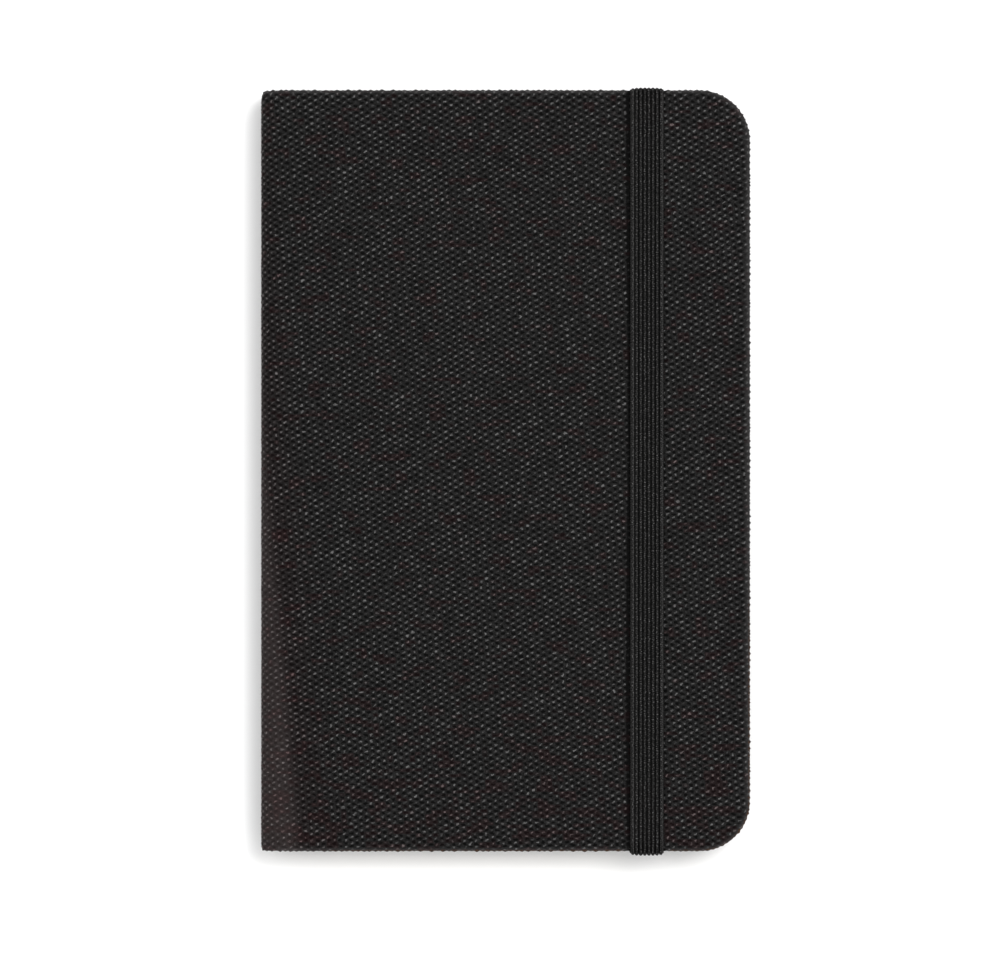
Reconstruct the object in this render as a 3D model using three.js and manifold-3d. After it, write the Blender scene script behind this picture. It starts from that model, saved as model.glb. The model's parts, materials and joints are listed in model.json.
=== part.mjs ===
// Pocket notebook with a canvas-covered hard case, sewn pages and an elastic closure band.
//
// Millimetres. The notebook lies on its back cover: +Z points out of the front cover,
// +Y to the head of the pages, +X to the fore-edge, and the spine is at -X.
// The origin is the middle of the footprint, at the height of what the notebook rests on.

import * as THREE from 'three';
import { mergeVertices } from 'three/addons/utils/BufferGeometryUtils.js';
import Module from 'manifold-3d';

const wasm = await Module();
wasm.setup();

// ---- Driving dimensions -------------------------------------------------------------

const CASE_WIDTH = 90;
const CASE_HEIGHT = 140;
const FORE_CORNER_RADIUS = 9.2;
const SPINE_CORNER_RADIUS = 1.6;
const SHOULDER_RADIUS = 4;

const GAP = 0.05;
const CLOTH = 0.45;
const BOARD = 1.6;
const ENDPAPER = 0.15;
const TURN_IN = 11;
const EDGE_ROUNDING = 1.2;
const SHOULDER_OVERLAP = 0.5;
const PASTEDOWN_MARGIN = 0.4;
const PASTEDOWN_CORNER = 0.4;

const SIGNATURE_COUNT = 12;
const SIGNATURE = 0.75;
const PAGE_SQUARE = 2.2;
const FOLD_X = -43.1;
const FOLD_CORNER = 0.3;

const STRIP = 0.65;
const STRIP_SHORTFALL = 0.3;
const LINING = 0.1;
const LINING_SHORTFALL = 2;
const MULL = 0.15;
const MULL_SHORTFALL = 8;
const THREAD_RADIUS = 0.14;
const STITCH_STATIONS = 7;
const STITCH_SPAN = 108;
const HEADBAND_RADIUS = 0.6;

const BAND_WIDTH = 6.35;
const BAND = 0.8;
const BAND_EDGE_SHARE = 0.4;
const BAND_X = 26;
const SLOT_Y = 57.8;
const SLOT_LENGTH = 1.2;
const SLOT_CLEARANCE = 0.2;
const ANCHOR_LENGTH = 16;
const ANCHOR_OVERLAP = 0.1;

const FORWARD_PART_OF_SHOULDER = 48;
const SPINE_PART_OF_SHOULDER = 42;

// ---- Levels and places worked out from them -----------------------------------------

const SPINE_X = -CASE_WIDTH / 2;
const FORE_X = CASE_WIDTH / 2;
const HEAD_Y = CASE_HEIGHT / 2;
const JOINT_X = SPINE_X + SHOULDER_RADIUS;

const BACK_FACE = BAND + GAP;
const BOARD_BOTTOM = BACK_FACE + CLOTH + GAP;
const TURN_IN_BOTTOM = BOARD_BOTTOM + BOARD + GAP;
const CASE_INSIDE = TURN_IN_BOTTOM + CLOTH;
const PASTEDOWN_BOTTOM = CASE_INSIDE + GAP;
const FLYLEAF_BOTTOM = PASTEDOWN_BOTTOM + ENDPAPER + GAP;
const PAGES_BOTTOM = FLYLEAF_BOTTOM + ENDPAPER + GAP;
const SIGNATURE_PITCH = SIGNATURE + GAP;
const PAGES_TOP = PAGES_BOTTOM + SIGNATURE_COUNT * SIGNATURE_PITCH - GAP;
const MIDDLE = (PAGES_BOTTOM + PAGES_TOP) / 2;
const FRONT_FACE = 2 * MIDDLE - BACK_FACE;

const PAGE_FORE_X = FORE_X - PAGE_SQUARE;
const PAGE_HEAD_Y = HEAD_Y - PAGE_SQUARE;
const PAGE_CORNER_RADIUS = FORE_CORNER_RADIUS - PAGE_SQUARE;

// ---- Colours and finishes -----------------------------------------------------------

const finish = (color, roughness) =>
  new THREE.MeshStandardMaterial({ color, roughness, metalness: 0 });

const CANVAS = finish(0x252424, 0.92);
const ELASTIC = finish(0x212121, 0.7);
const GREY_BOARD = finish(0x8a857c, 0.9);
const CREAM_PAPER = finish(0xf1ead6, 0.85);
const ENDPAPER_PAPER = finish(0xefe7d2, 0.85);
const LINING_PAPER = finish(0xb79f78, 0.9);
const GAUZE = finish(0xe3ded0, 0.95);
const THREAD = finish(0xf4f1e8, 0.7);

// ---- Solids -------------------------------------------------------------------------

/** A closed geometry as a solid that can be joined and cut. */
function toSolid(geometry) {
  const bare = geometry.clone();
  bare.deleteAttribute('normal');
  bare.deleteAttribute('uv');
  const merged = mergeVertices(bare, 1e-4);
  const vertProperties = new Float32Array(merged.attributes.position.array);
  const triVerts = new Uint32Array(merged.index.array);
  return new wasm.Manifold(new wasm.Mesh({ numProp: 3, vertProperties, triVerts }));
}

/** A solid as a geometry again. */
function toGeometry(solid) {
  const mesh = solid.getMesh();
  const geometry = new THREE.BufferGeometry();
  const points = new THREE.BufferAttribute(new Float32Array(mesh.vertProperties), 3);
  geometry.setAttribute('position', points);
  geometry.setIndex(Array.from(mesh.triVerts));
  geometry.computeVertexNormals();
  return geometry;
}

/** A block between two corners. */
function block([x0, y0, z0], [x1, y1, z1]) {
  const geometry = new THREE.BoxGeometry(x1 - x0, y1 - y0, z1 - z0);
  return geometry.translate((x0 + x1) / 2, (y0 + y1) / 2, (z0 + z1) / 2);
}

/** The outline of a cover or a page, seen from above, with its fore-edge corners rounded. */
function leafOutline({ left, right, head, radius, spineRadius }) {
  const outline = new THREE.Shape();
  outline.moveTo(left + spineRadius, -head);
  outline.lineTo(right - radius, -head);
  outline.absarc(right - radius, -head + radius, radius, -Math.PI / 2, 0);
  outline.lineTo(right, head - radius);
  outline.absarc(right - radius, head - radius, radius, 0, Math.PI / 2);
  outline.lineTo(left + spineRadius, head);
  outline.absarc(left + spineRadius, head - spineRadius, spineRadius, Math.PI / 2, Math.PI);
  outline.lineTo(left, -head + spineRadius);
  outline.absarc(left + spineRadius, -head + spineRadius, spineRadius, Math.PI, 1.5 * Math.PI);
  return outline;
}

/** A flat plate of a leaf's outline, with its edges rounded over by `rounding`. */
function plate(size, bottom, top, rounding = 0) {
  const geometry = new THREE.ExtrudeGeometry(leafOutline(size), {
    depth: top - bottom - 2 * rounding,
    curveSegments: 6,
    bevelEnabled: rounding > 0,
    bevelThickness: rounding,
    bevelSize: rounding,
    bevelOffset: -rounding,
    bevelSegments: 3,
  });
  return geometry.translate(0, 0, bottom + rounding);
}

/** A section drawn in X and Z, drawn out along Y from `from` to `to`. */
function drawnAlongY(section, from, to, curveSegments = 6) {
  const geometry = new THREE.ExtrudeGeometry(section, {
    depth: to - from,
    curveSegments,
    bevelEnabled: false,
  });
  return geometry.rotateX(Math.PI / 2).translate(0, to, 0);
}

/** The same geometry on the other side of the middle of the notebook's thickness. */
function turnedToBack(geometry) {
  const mirrored = geometry.clone();
  mirrored.scale(1, 1, -1);
  mirrored.translate(0, 0, 2 * MIDDLE);
  const corners = mirrored.index.array;
  for (let i = 0; i < corners.length; i += 3) {
    const second = corners[i + 1];
    corners[i + 1] = corners[i + 2];
    corners[i + 2] = second;
  }
  mirrored.computeVertexNormals();
  return mirrored;
}

const radians = (degrees) => THREE.MathUtils.degToRad(degrees);

// ---- Case ---------------------------------------------------------------------------

const SHOULDER_Z = FRONT_FACE - SHOULDER_RADIUS;
const COVER_OUTLINE = {
  left: SPINE_X - SHOULDER_RADIUS,
  right: FORE_X,
  head: HEAD_Y,
  radius: FORE_CORNER_RADIUS,
  spineRadius: SPINE_CORNER_RADIUS,
};
const BOARD_OUTLINE = {
  left: JOINT_X + GAP,
  right: FORE_X - CLOTH - GAP,
  head: HEAD_Y - CLOTH - GAP,
  radius: FORE_CORNER_RADIUS - CLOTH - GAP,
  spineRadius: SPINE_CORNER_RADIUS,
};
const BOARD_ROUNDING = EDGE_ROUNDING - CLOTH - GAP;

/** The front cover's cloth: outer face, edges, turn-ins and its part of the spine shoulder. */
function coverCloth() {
  const top = FRONT_FACE;
  const inside = 2 * MIDDLE - CASE_INSIDE;
  const boardBottom = 2 * MIDDLE - TURN_IN_BOTTOM;
  const outer = toSolid(plate(COVER_OUTLINE, inside, top, EDGE_ROUNDING));
  const cutAtJoint = toSolid(block([JOINT_X, -CASE_HEIGHT, 0], [CASE_WIDTH, CASE_HEIGHT, top + 1]));
  const cavityOutline = {
    left: COVER_OUTLINE.left - 1,
    right: BOARD_OUTLINE.right + GAP,
    head: BOARD_OUTLINE.head + GAP,
    radius: BOARD_OUTLINE.radius + GAP,
    spineRadius: SPINE_CORNER_RADIUS,
  };
  const cavity = toSolid(plate(cavityOutline, boardBottom, top - CLOTH, BOARD_ROUNDING));
  const windowLow = [COVER_OUTLINE.left, -HEAD_Y + TURN_IN, inside - 1];
  const windowHigh = [FORE_X - TURN_IN, HEAD_Y - TURN_IN, boardBottom + BOARD / 2];
  const window = toSolid(block(windowLow, windowHigh));
  return toGeometry(
    outer.intersect(cutAtJoint).subtract(cavity).subtract(window).add(toSolid(frontShoulder())),
  );
}

/** The stretch of cloth that bends from the front face towards the spine. */
function frontShoulder() {
  const start = radians(180 - FORWARD_PART_OF_SHOULDER);
  const crown = radians(90);
  const inner = SHOULDER_RADIUS - CLOTH;
  const section = new THREE.Shape();
  section.absarc(JOINT_X, SHOULDER_Z, SHOULDER_RADIUS, start, crown, true);
  section.lineTo(JOINT_X + SHOULDER_OVERLAP, FRONT_FACE);
  section.lineTo(JOINT_X + SHOULDER_OVERLAP, FRONT_FACE - CLOTH);
  section.absarc(JOINT_X, SHOULDER_Z, inner, crown, start, false);
  section.closePath();
  return drawnAlongY(section, -HEAD_Y + EDGE_ROUNDING / 2, HEAD_Y - EDGE_ROUNDING / 2);
}

/** The elastic's slot through the back board and its cloth, at the head or the tail. */
function slot(side) {
  const halfWidth = BAND_WIDTH / 2 + SLOT_CLEARANCE;
  const low = [BAND_X - halfWidth, side * SLOT_Y - SLOT_LENGTH / 2, -1];
  const high = [BAND_X + halfWidth, side * SLOT_Y + SLOT_LENGTH / 2, MIDDLE];
  return toSolid(block(low, high));
}

const slotted = (geometry) => toGeometry(toSolid(geometry).subtract(slot(1)).subtract(slot(-1)));

/** The grey board inside a cover. */
const coverBoard = () =>
  plate(BOARD_OUTLINE, 2 * MIDDLE - BOARD_BOTTOM - BOARD, 2 * MIDDLE - BOARD_BOTTOM, BOARD_ROUNDING);

/** The endpaper that lies over the turn-ins, inside the front or the back cover. */
function pastedown(bottom) {
  const inset = PAGE_SQUARE - PASTEDOWN_MARGIN;
  const size = {
    left: JOINT_X + GAP,
    right: FORE_X - inset,
    head: HEAD_Y - inset,
    radius: FORE_CORNER_RADIUS - inset,
    spineRadius: PASTEDOWN_CORNER,
  };
  return plate(size, bottom, bottom + ENDPAPER);
}

/** The spine's cloth: straight down the back, turned in over the ends of the strip. */
function spineCloth() {
  const inner = SHOULDER_RADIUS - CLOTH;
  const lowZ = 2 * MIDDLE - SHOULDER_Z;
  const top = radians(180 - SPINE_PART_OF_SHOULDER);
  const bottom = radians(180 + SPINE_PART_OF_SHOULDER);
  const section = new THREE.Shape();
  section.absarc(JOINT_X, SHOULDER_Z, SHOULDER_RADIUS, top, Math.PI, false);
  section.absarc(JOINT_X, lowZ, SHOULDER_RADIUS, Math.PI, bottom, false);
  section.absarc(JOINT_X, lowZ, inner, bottom, Math.PI, true);
  section.absarc(JOINT_X, SHOULDER_Z, inner, Math.PI, top, true);
  section.closePath();
  let cloth = toSolid(drawnAlongY(section, -HEAD_Y, HEAD_Y));
  for (const side of [-1, 1]) {
    const ends = [side * (HEAD_Y - CLOTH), side * HEAD_Y].sort((a, b) => a - b);
    const low = [SPINE_X + CLOTH / 2, ends[0], lowZ];
    const high = [STRIP_X + STRIP, ends[1], SHOULDER_Z];
    cloth = cloth.add(toSolid(block(low, high)));
  }
  return toGeometry(cloth);
}

// ---- Spine of the text block --------------------------------------------------------

const STRIP_X = SPINE_X + CLOTH + GAP;
const LINING_X = STRIP_X + STRIP + GAP;
const MULL_X = LINING_X + LINING + GAP;
const THREAD_X = FOLD_X - GAP - THREAD_RADIUS;

/** The card that stiffens the spine. */
function spineStrip() {
  const halfLength = HEAD_Y - CLOTH - STRIP_SHORTFALL;
  const low = [STRIP_X, -halfLength, 2 * MIDDLE - SHOULDER_Z];
  return block(low, [STRIP_X + STRIP, halfLength, SHOULDER_Z]);
}

/** A thin layer over the backs of the signatures. */
const spineLayer = (x, thickness, halfLength) =>
  block([x, -halfLength, PAGES_BOTTOM], [x + thickness, halfLength, PAGES_TOP]);

/** The sewing: one thread that crosses the folds at each station and runs on to the next. */
function sewing() {
  const height = PAGES_TOP - PAGES_BOTTOM - 2 * THREAD_RADIUS;
  const spacing = STITCH_SPAN / (STITCH_STATIONS - 1);
  const thread = (length) => {
    const run = new THREE.CylinderGeometry(THREAD_RADIUS, THREAD_RADIUS, length, 8);
    return run.translate(THREAD_X, 0, MIDDLE);
  };
  let stitches;
  for (let i = 0; i < STITCH_STATIONS; i += 1) {
    const y = spacing * i - STITCH_SPAN / 2;
    const crossing = thread(height + 2 * THREAD_RADIUS);
    crossing.translate(-THREAD_X, 0, -MIDDLE).rotateX(Math.PI / 2).translate(THREAD_X, y, MIDDLE);
    stitches = stitches ? stitches.add(toSolid(crossing)) : toSolid(crossing);
    if (i > 0) {
      const end = i % 2 ? height / 2 : -height / 2;
      stitches = stitches.add(toSolid(thread(spacing).translate(0, y - spacing / 2, end)));
    }
  }
  return toGeometry(stitches);
}

/** A headband's beaded roll, at the head or the tail of the folds. */
function headbandRoll(side) {
  const length = PAGES_TOP - PAGES_BOTTOM - 2 * GAP;
  const roll = new THREE.CylinderGeometry(HEADBAND_RADIUS, HEADBAND_RADIUS, length, 12);
  const x = FOLD_X + HEADBAND_RADIUS;
  const y = side * (PAGE_HEAD_Y + 2 * GAP + HEADBAND_RADIUS);
  return roll.rotateX(Math.PI / 2).translate(x, y, MIDDLE);
}

// ---- Pages --------------------------------------------------------------------------

const LEAF_OUTLINE = {
  left: FOLD_X,
  right: PAGE_FORE_X,
  head: PAGE_HEAD_Y,
  radius: PAGE_CORNER_RADIUS,
  spineRadius: FOLD_CORNER,
};

/** Signature `number`, counted from the front. */
function signature(number) {
  const bottom = PAGES_BOTTOM + (SIGNATURE_COUNT - number) * SIGNATURE_PITCH;
  return plate(LEAF_OUTLINE, bottom, bottom + SIGNATURE);
}

const flyleaf = (bottom) => plate(LEAF_OUTLINE, bottom, bottom + ENDPAPER);

// ---- Elastic band -------------------------------------------------------------------

/** The band's own section: flat, with rounded edges, centred on (x, z). */
function bandSection(x, z, thickness = BAND) {
  const radius = thickness * BAND_EDGE_SHARE;
  const halfWidth = BAND_WIDTH / 2 - radius;
  const halfHeight = thickness / 2 - radius;
  const section = new THREE.Shape();
  section.absarc(x + halfWidth, z - halfHeight, radius, -Math.PI / 2, 0);
  section.absarc(x + halfWidth, z + halfHeight, radius, 0, Math.PI / 2);
  section.absarc(x - halfWidth, z + halfHeight, radius, Math.PI / 2, Math.PI);
  section.absarc(x - halfWidth, z - halfHeight, radius, Math.PI, 1.5 * Math.PI);
  section.closePath();
  return section;
}

const BAND_OUTSIDE_Y = HEAD_Y + GAP + BAND;
const BAND_ARC_SEGMENTS = 3;

/** The stretch across the front cover, from the head edge to the tail edge. */
const bandFront = () => {
  const section = bandSection(BAND_X, FRONT_FACE + GAP + BAND / 2);
  return drawnAlongY(section, -BAND_OUTSIDE_Y, BAND_OUTSIDE_Y, BAND_ARC_SEGMENTS);
};

/** The stretch across the thickness, at the head or the tail. */
function bandSide(side) {
  const section = bandSection(BAND_X, side * (HEAD_Y + GAP + BAND / 2));
  const run = new THREE.ExtrudeGeometry(section, {
    depth: FRONT_FACE - BACK_FACE,
    curveSegments: BAND_ARC_SEGMENTS,
    bevelEnabled: false,
  });
  return run.translate(0, 0, BACK_FACE);
}

/** The stretch under the back cover, from the slot to the edge. */
function bandBack(side) {
  const section = bandSection(BAND_X, BAND / 2);
  const inner = SLOT_Y - SLOT_LENGTH / 2;
  const [from, to] = side > 0 ? [inner, BAND_OUTSIDE_Y] : [-BAND_OUTSIDE_Y, -inner];
  return drawnAlongY(section, from, to, BAND_ARC_SEGMENTS);
}

/** The end of the band: up through the slot, then glued down under the pastedown. */
function bandAnchor(side) {
  const inner = SLOT_Y - BAND / 2;
  const outer = SLOT_Y + BAND / 2;
  const left = BAND_X - BAND_WIDTH / 2;
  const right = BAND_X + BAND_WIDTH / 2;
  const top = CASE_INSIDE - GAP;
  const order = (a, b) => [side * a, side * b].sort((p, q) => p - q);
  const [riserFrom, riserTo] = order(inner, outer);
  const [tailFrom, tailTo] = order(inner - ANCHOR_LENGTH, inner + ANCHOR_OVERLAP);
  const riser = toSolid(block([left, riserFrom, BACK_FACE], [right, riserTo, top]));
  const tail = toSolid(block([left, tailFrom, TURN_IN_BOTTOM], [right, tailTo, top]));
  return toGeometry(riser.add(tail));
}

// ---- Assembly -----------------------------------------------------------------------

const notebook = new THREE.Group();

/** Adds one named piece. */
function addPiece(name, geometry, material) {
  const piece = new THREE.Mesh(geometry, material);
  piece.name = name;
  notebook.add(piece);
}

const frontBottom = (backLevel, thickness) => 2 * MIDDLE - backLevel - thickness;

const frontCloth = coverCloth();
addPiece('front_cover_cloth', frontCloth, CANVAS);
addPiece('front_cover_board', coverBoard(), GREY_BOARD);
addPiece('front_pastedown', pastedown(frontBottom(PASTEDOWN_BOTTOM, ENDPAPER)), ENDPAPER_PAPER);
addPiece('front_flyleaf', flyleaf(frontBottom(FLYLEAF_BOTTOM, ENDPAPER)), ENDPAPER_PAPER);

for (let number = 1; number <= SIGNATURE_COUNT; number += 1) {
  addPiece(`signature_${String(number).padStart(2, '0')}`, signature(number), CREAM_PAPER);
}

addPiece('back_flyleaf', flyleaf(FLYLEAF_BOTTOM), ENDPAPER_PAPER);
addPiece('back_pastedown', pastedown(PASTEDOWN_BOTTOM), ENDPAPER_PAPER);
addPiece('back_cover_board', slotted(turnedToBack(toGeometry(toSolid(coverBoard())))), GREY_BOARD);
addPiece('back_cover_cloth', slotted(turnedToBack(frontCloth)), CANVAS);

addPiece('spine_cloth', spineCloth(), CANVAS);
addPiece('spine_strip', spineStrip(), GREY_BOARD);
addPiece('spine_lining', spineLayer(LINING_X, LINING, PAGE_HEAD_Y - LINING_SHORTFALL), LINING_PAPER);
addPiece('spine_mull', spineLayer(MULL_X, MULL, PAGE_HEAD_Y - MULL_SHORTFALL), GAUZE);
addPiece('sewing_thread', sewing(), THREAD);
addPiece('headband', headbandRoll(1), THREAD);
addPiece('tailband', headbandRoll(-1), THREAD);

addPiece('elastic_front_run', bandFront(), ELASTIC);
for (const [end, side] of [['head', 1], ['tail', -1]]) {
  addPiece(`elastic_side_${end}`, bandSide(side), ELASTIC);
  addPiece(`elastic_back_run_${end}`, bandBack(side), ELASTIC);
  addPiece(`elastic_anchor_${end}`, bandAnchor(side), ELASTIC);
}

export default notebook;
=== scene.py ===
"""The looks of a pocket notebook with a canvas-covered hard case and an elastic closure band.

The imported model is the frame. Each sub-assembly is a class that holds its sizes in
millimetres, builds its meshes round that frame and dresses them in their finishes.
"""

import json
import logging
import math
from dataclasses import dataclass, field
from enum import Enum
from typing import Callable, Sequence

import bpy
import numpy as np
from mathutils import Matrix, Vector

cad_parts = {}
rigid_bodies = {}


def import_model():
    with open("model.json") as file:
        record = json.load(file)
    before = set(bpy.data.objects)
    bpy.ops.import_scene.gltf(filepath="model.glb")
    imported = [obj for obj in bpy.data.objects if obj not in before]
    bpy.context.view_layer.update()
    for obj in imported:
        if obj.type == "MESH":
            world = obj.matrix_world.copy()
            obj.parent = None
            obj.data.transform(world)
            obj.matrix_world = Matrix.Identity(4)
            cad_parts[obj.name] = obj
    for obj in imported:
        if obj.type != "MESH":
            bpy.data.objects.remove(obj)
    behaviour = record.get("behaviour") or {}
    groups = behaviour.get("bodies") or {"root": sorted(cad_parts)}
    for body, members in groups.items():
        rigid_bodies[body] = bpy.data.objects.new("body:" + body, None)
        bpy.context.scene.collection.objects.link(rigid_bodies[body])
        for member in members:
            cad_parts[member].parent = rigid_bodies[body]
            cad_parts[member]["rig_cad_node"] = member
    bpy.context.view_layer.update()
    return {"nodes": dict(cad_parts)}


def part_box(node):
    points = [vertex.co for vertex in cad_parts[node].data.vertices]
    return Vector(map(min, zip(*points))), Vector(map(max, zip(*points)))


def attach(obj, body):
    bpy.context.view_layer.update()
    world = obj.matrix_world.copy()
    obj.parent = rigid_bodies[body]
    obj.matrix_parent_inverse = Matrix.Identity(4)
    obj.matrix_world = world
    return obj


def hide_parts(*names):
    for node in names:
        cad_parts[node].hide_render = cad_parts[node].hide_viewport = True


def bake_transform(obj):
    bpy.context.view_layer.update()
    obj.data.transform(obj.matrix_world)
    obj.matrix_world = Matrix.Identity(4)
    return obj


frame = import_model()

MM = 0.001
LOG = logging.getLogger("notebook")
Points = np.ndarray
Bend = tuple[tuple[float, float, float], tuple[float, float, float]]
Colour = tuple[float, float, float, float]
Socket = bpy.types.NodeSocket
Piece = bpy.types.Object


# ---- Places read from the frame -----------------------------------------------------


@dataclass(frozen=True)
class Levels:
    """Levels and edges of the notebook, in millimetres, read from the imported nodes."""

    fore_x: float
    head_y: float
    front_face: float
    back_face: float
    joint_x: float

    @property
    def middle(self) -> float:
        """The height halfway between the two covers' outer faces."""
        return (self.front_face + self.back_face) / 2

    @classmethod
    def from_frame(cls) -> "Levels":
        """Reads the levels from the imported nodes' boxes."""
        _, cover_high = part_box("front_cover_cloth")
        back_low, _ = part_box("back_cover_cloth")
        board_low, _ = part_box("front_cover_board")
        return cls(
            fore_x=cover_high.x / MM,
            head_y=cover_high.y / MM,
            front_face=cover_high.z / MM,
            back_face=back_low.z / MM,
            joint_x=board_low.x / MM - 0.05,
        )


LEVELS = Levels.from_frame()


def span(node: str, axis: int) -> tuple[float, float]:
    """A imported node's lowest and highest place along an axis.

    Args:
        node: The node's name.
        axis: 0 for X, 1 for Y and 2 for Z.

    Returns:
        The two places in millimetres.
    """
    low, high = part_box(node)
    return low[axis] / MM, high[axis] / MM


# ---- Bench: meshes ------------------------------------------------------------------


class Delete(Enum):
    """What a delete in edit mode takes away."""

    FACES = "FACE"


def clear_selection() -> None:
    """Leaves nothing selected or active."""
    if bpy.context.object is not None and bpy.context.object.mode != "OBJECT":
        bpy.ops.object.mode_set(mode="OBJECT")
    bpy.ops.object.select_all(action="DESELECT")
    bpy.context.view_layer.objects.active = None


def take(piece: Piece) -> None:
    """Selects one piece alone and makes it active."""
    clear_selection()
    piece.select_set(True)
    bpy.context.view_layer.objects.active = piece


def coordinates(piece: Piece) -> Points:
    """The piece's vertices as an array of millimetres."""
    flat = np.empty(len(piece.data.vertices) * 3, np.float64)
    piece.data.vertices.foreach_get("co", flat)
    return flat.reshape(-1, 3) / MM


def move_to(piece: Piece, points: Points) -> None:
    """Puts the piece's vertices at these places in millimetres."""
    piece.data.vertices.foreach_set("co", (points * MM).astype(np.float32).ravel())
    piece.data.update()


def lattice(name: str, columns: int, rows: int) -> tuple[Piece, Points, Points]:
    """A flat grid of quads, ready to be laid over a shape.

    Args:
        name: The piece's name.
        columns: The number of quads along the first direction.
        rows: The number of quads along the second direction.

    Returns:
        The piece, and each vertex's column and row number.
    """
    clear_selection()
    bpy.ops.mesh.primitive_grid_add(x_subdivisions=columns, y_subdivisions=rows, size=2)
    piece = bpy.context.object
    piece.name = name
    piece.data.name = name
    at = coordinates(piece) * MM
    column = np.rint((at[:, 0] + 1) / 2 * columns)
    row = np.rint((at[:, 1] + 1) / 2 * rows)
    return piece, column, row


def set_map(piece: Piece, name: str, first: Points, second: Points) -> None:
    """Gives the piece one UV map, from two numbers for each vertex.

    Args:
        piece: The piece.
        name: The map's name.
        first: The map's U for each vertex.
        second: The map's V for each vertex.
    """
    mesh = piece.data
    while mesh.uv_layers:
        mesh.uv_layers.remove(mesh.uv_layers[0])
    layer = mesh.uv_layers.new(name=name)
    corners = np.empty(len(mesh.loops), np.int32)
    mesh.loops.foreach_get("vertex_index", corners)
    pairs = np.stack([first[corners], second[corners]], 1)
    layer.uv.foreach_set("vector", pairs.astype(np.float32).ravel())


def read_map(piece: Piece, name: str) -> tuple[Points, Points]:
    """Each vertex's two numbers in a UV map."""
    mesh = piece.data
    pairs = np.empty(len(mesh.loops) * 2, np.float32)
    mesh.uv_layers[name].uv.foreach_get("vector", pairs)
    corners = np.empty(len(mesh.loops), np.int32)
    mesh.loops.foreach_get("vertex_index", corners)
    found = np.zeros((len(mesh.vertices), 2))
    found[corners] = pairs.reshape(-1, 2)
    return found[:, 0], found[:, 1]


def set_share(piece: Piece, name: str, share: Points) -> None:
    """Gives each of the piece's vertices a number that its finish reads."""
    layer = piece.data.attributes.new(name=name, type="FLOAT", domain="POINT")
    layer.data.foreach_set("value", share.astype(np.float32))


def bisect(piece: Piece, at: float, keep_above: bool) -> None:
    """Cuts a flat piece along a line of constant X and clears one side.

    Args:
        piece: The flat piece.
        at: The line's place in millimetres.
        keep_above: Whether the side with the larger X stays.
    """
    take(piece)
    bpy.ops.object.mode_set(mode="EDIT")
    bpy.ops.mesh.select_all(action="SELECT")
    bpy.ops.mesh.bisect(
        plane_co=(at * MM, 0, 0),
        plane_no=(1, 0, 0),
        clear_inner=keep_above,
        clear_outer=not keep_above,
        threshold=1e-7,
    )
    bpy.ops.object.mode_set(mode="OBJECT")


def delete_faces(piece: Piece, doomed: Callable[[Points], Points], value: Points) -> None:
    """Deletes the faces whose every vertex is doomed.

    Args:
        piece: The piece.
        doomed: Says of each vertex value whether it is past the edge.
        value: A number for each vertex.
    """
    mesh = piece.data
    corners = np.empty(len(mesh.loops), np.int32)
    mesh.loops.foreach_get("vertex_index", corners)
    starts = np.empty(len(mesh.polygons), np.int32)
    mesh.polygons.foreach_get("loop_start", starts)
    out = doomed(value)[corners].astype(np.int32)
    all_out = np.minimum.reduceat(out, starts).astype(bool)
    take(piece)
    bpy.ops.object.mode_set(mode="EDIT")
    bpy.ops.mesh.select_mode(type="FACE")
    bpy.ops.mesh.select_all(action="DESELECT")
    bpy.ops.object.mode_set(mode="OBJECT")
    mesh.polygons.foreach_set("select", all_out)
    bpy.ops.object.mode_set(mode="EDIT")
    bpy.ops.mesh.delete(type=Delete.FACES.value)
    bpy.ops.object.mode_set(mode="OBJECT")


def weld(piece: Piece, distance: float = 0.001) -> None:
    """Merges the piece's doubled vertices and turns its faces outwards.

    Args:
        piece: The piece.
        distance: How far apart doubles may be, in millimetres.
    """
    take(piece)
    bpy.ops.object.mode_set(mode="EDIT")
    bpy.ops.mesh.select_all(action="SELECT")
    bpy.ops.mesh.remove_doubles(threshold=distance * MM)
    bpy.ops.mesh.normals_make_consistent(inside=False)
    bpy.ops.object.mode_set(mode="OBJECT")


def thicken(piece: Piece, thickness: float, offset: float = 0.0) -> None:
    """Gives a sheet its wall, with a Solidify that is applied.

    Args:
        piece: The sheet.
        thickness: The wall in millimetres.
        offset: Where the wall stands: -1 behind the sheet, 1 before it, 0 both.
    """
    take(piece)
    wall = piece.modifiers.new("wall", "SOLIDIFY")
    wall.thickness = thickness * MM
    wall.offset = offset
    wall.use_even_offset = False
    bpy.ops.object.modifier_apply(modifier=wall.name)


def smooth(piece: Piece, angle: float | None = None) -> None:
    """Shades a piece smooth, but for edges sharper than an angle in degrees."""
    take(piece)
    if angle is None:
        bpy.ops.object.shade_smooth()
    else:
        bpy.ops.object.shade_smooth_by_angle(angle=math.radians(angle))


def dress(piece: Piece, material: bpy.types.Material) -> None:
    """Puts a material on a piece.

    Args:
        piece: The piece.
        material: Its only material.
    """
    piece.data.materials.clear()
    piece.data.materials.append(material)


def ease(value: Points) -> Points:
    """The smooth step of a value held between 0 and 1."""
    t = np.clip(value, 0, 1)
    return t * t * (3 - 2 * t)


# ---- Bench: materials ---------------------------------------------------------------


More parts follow.
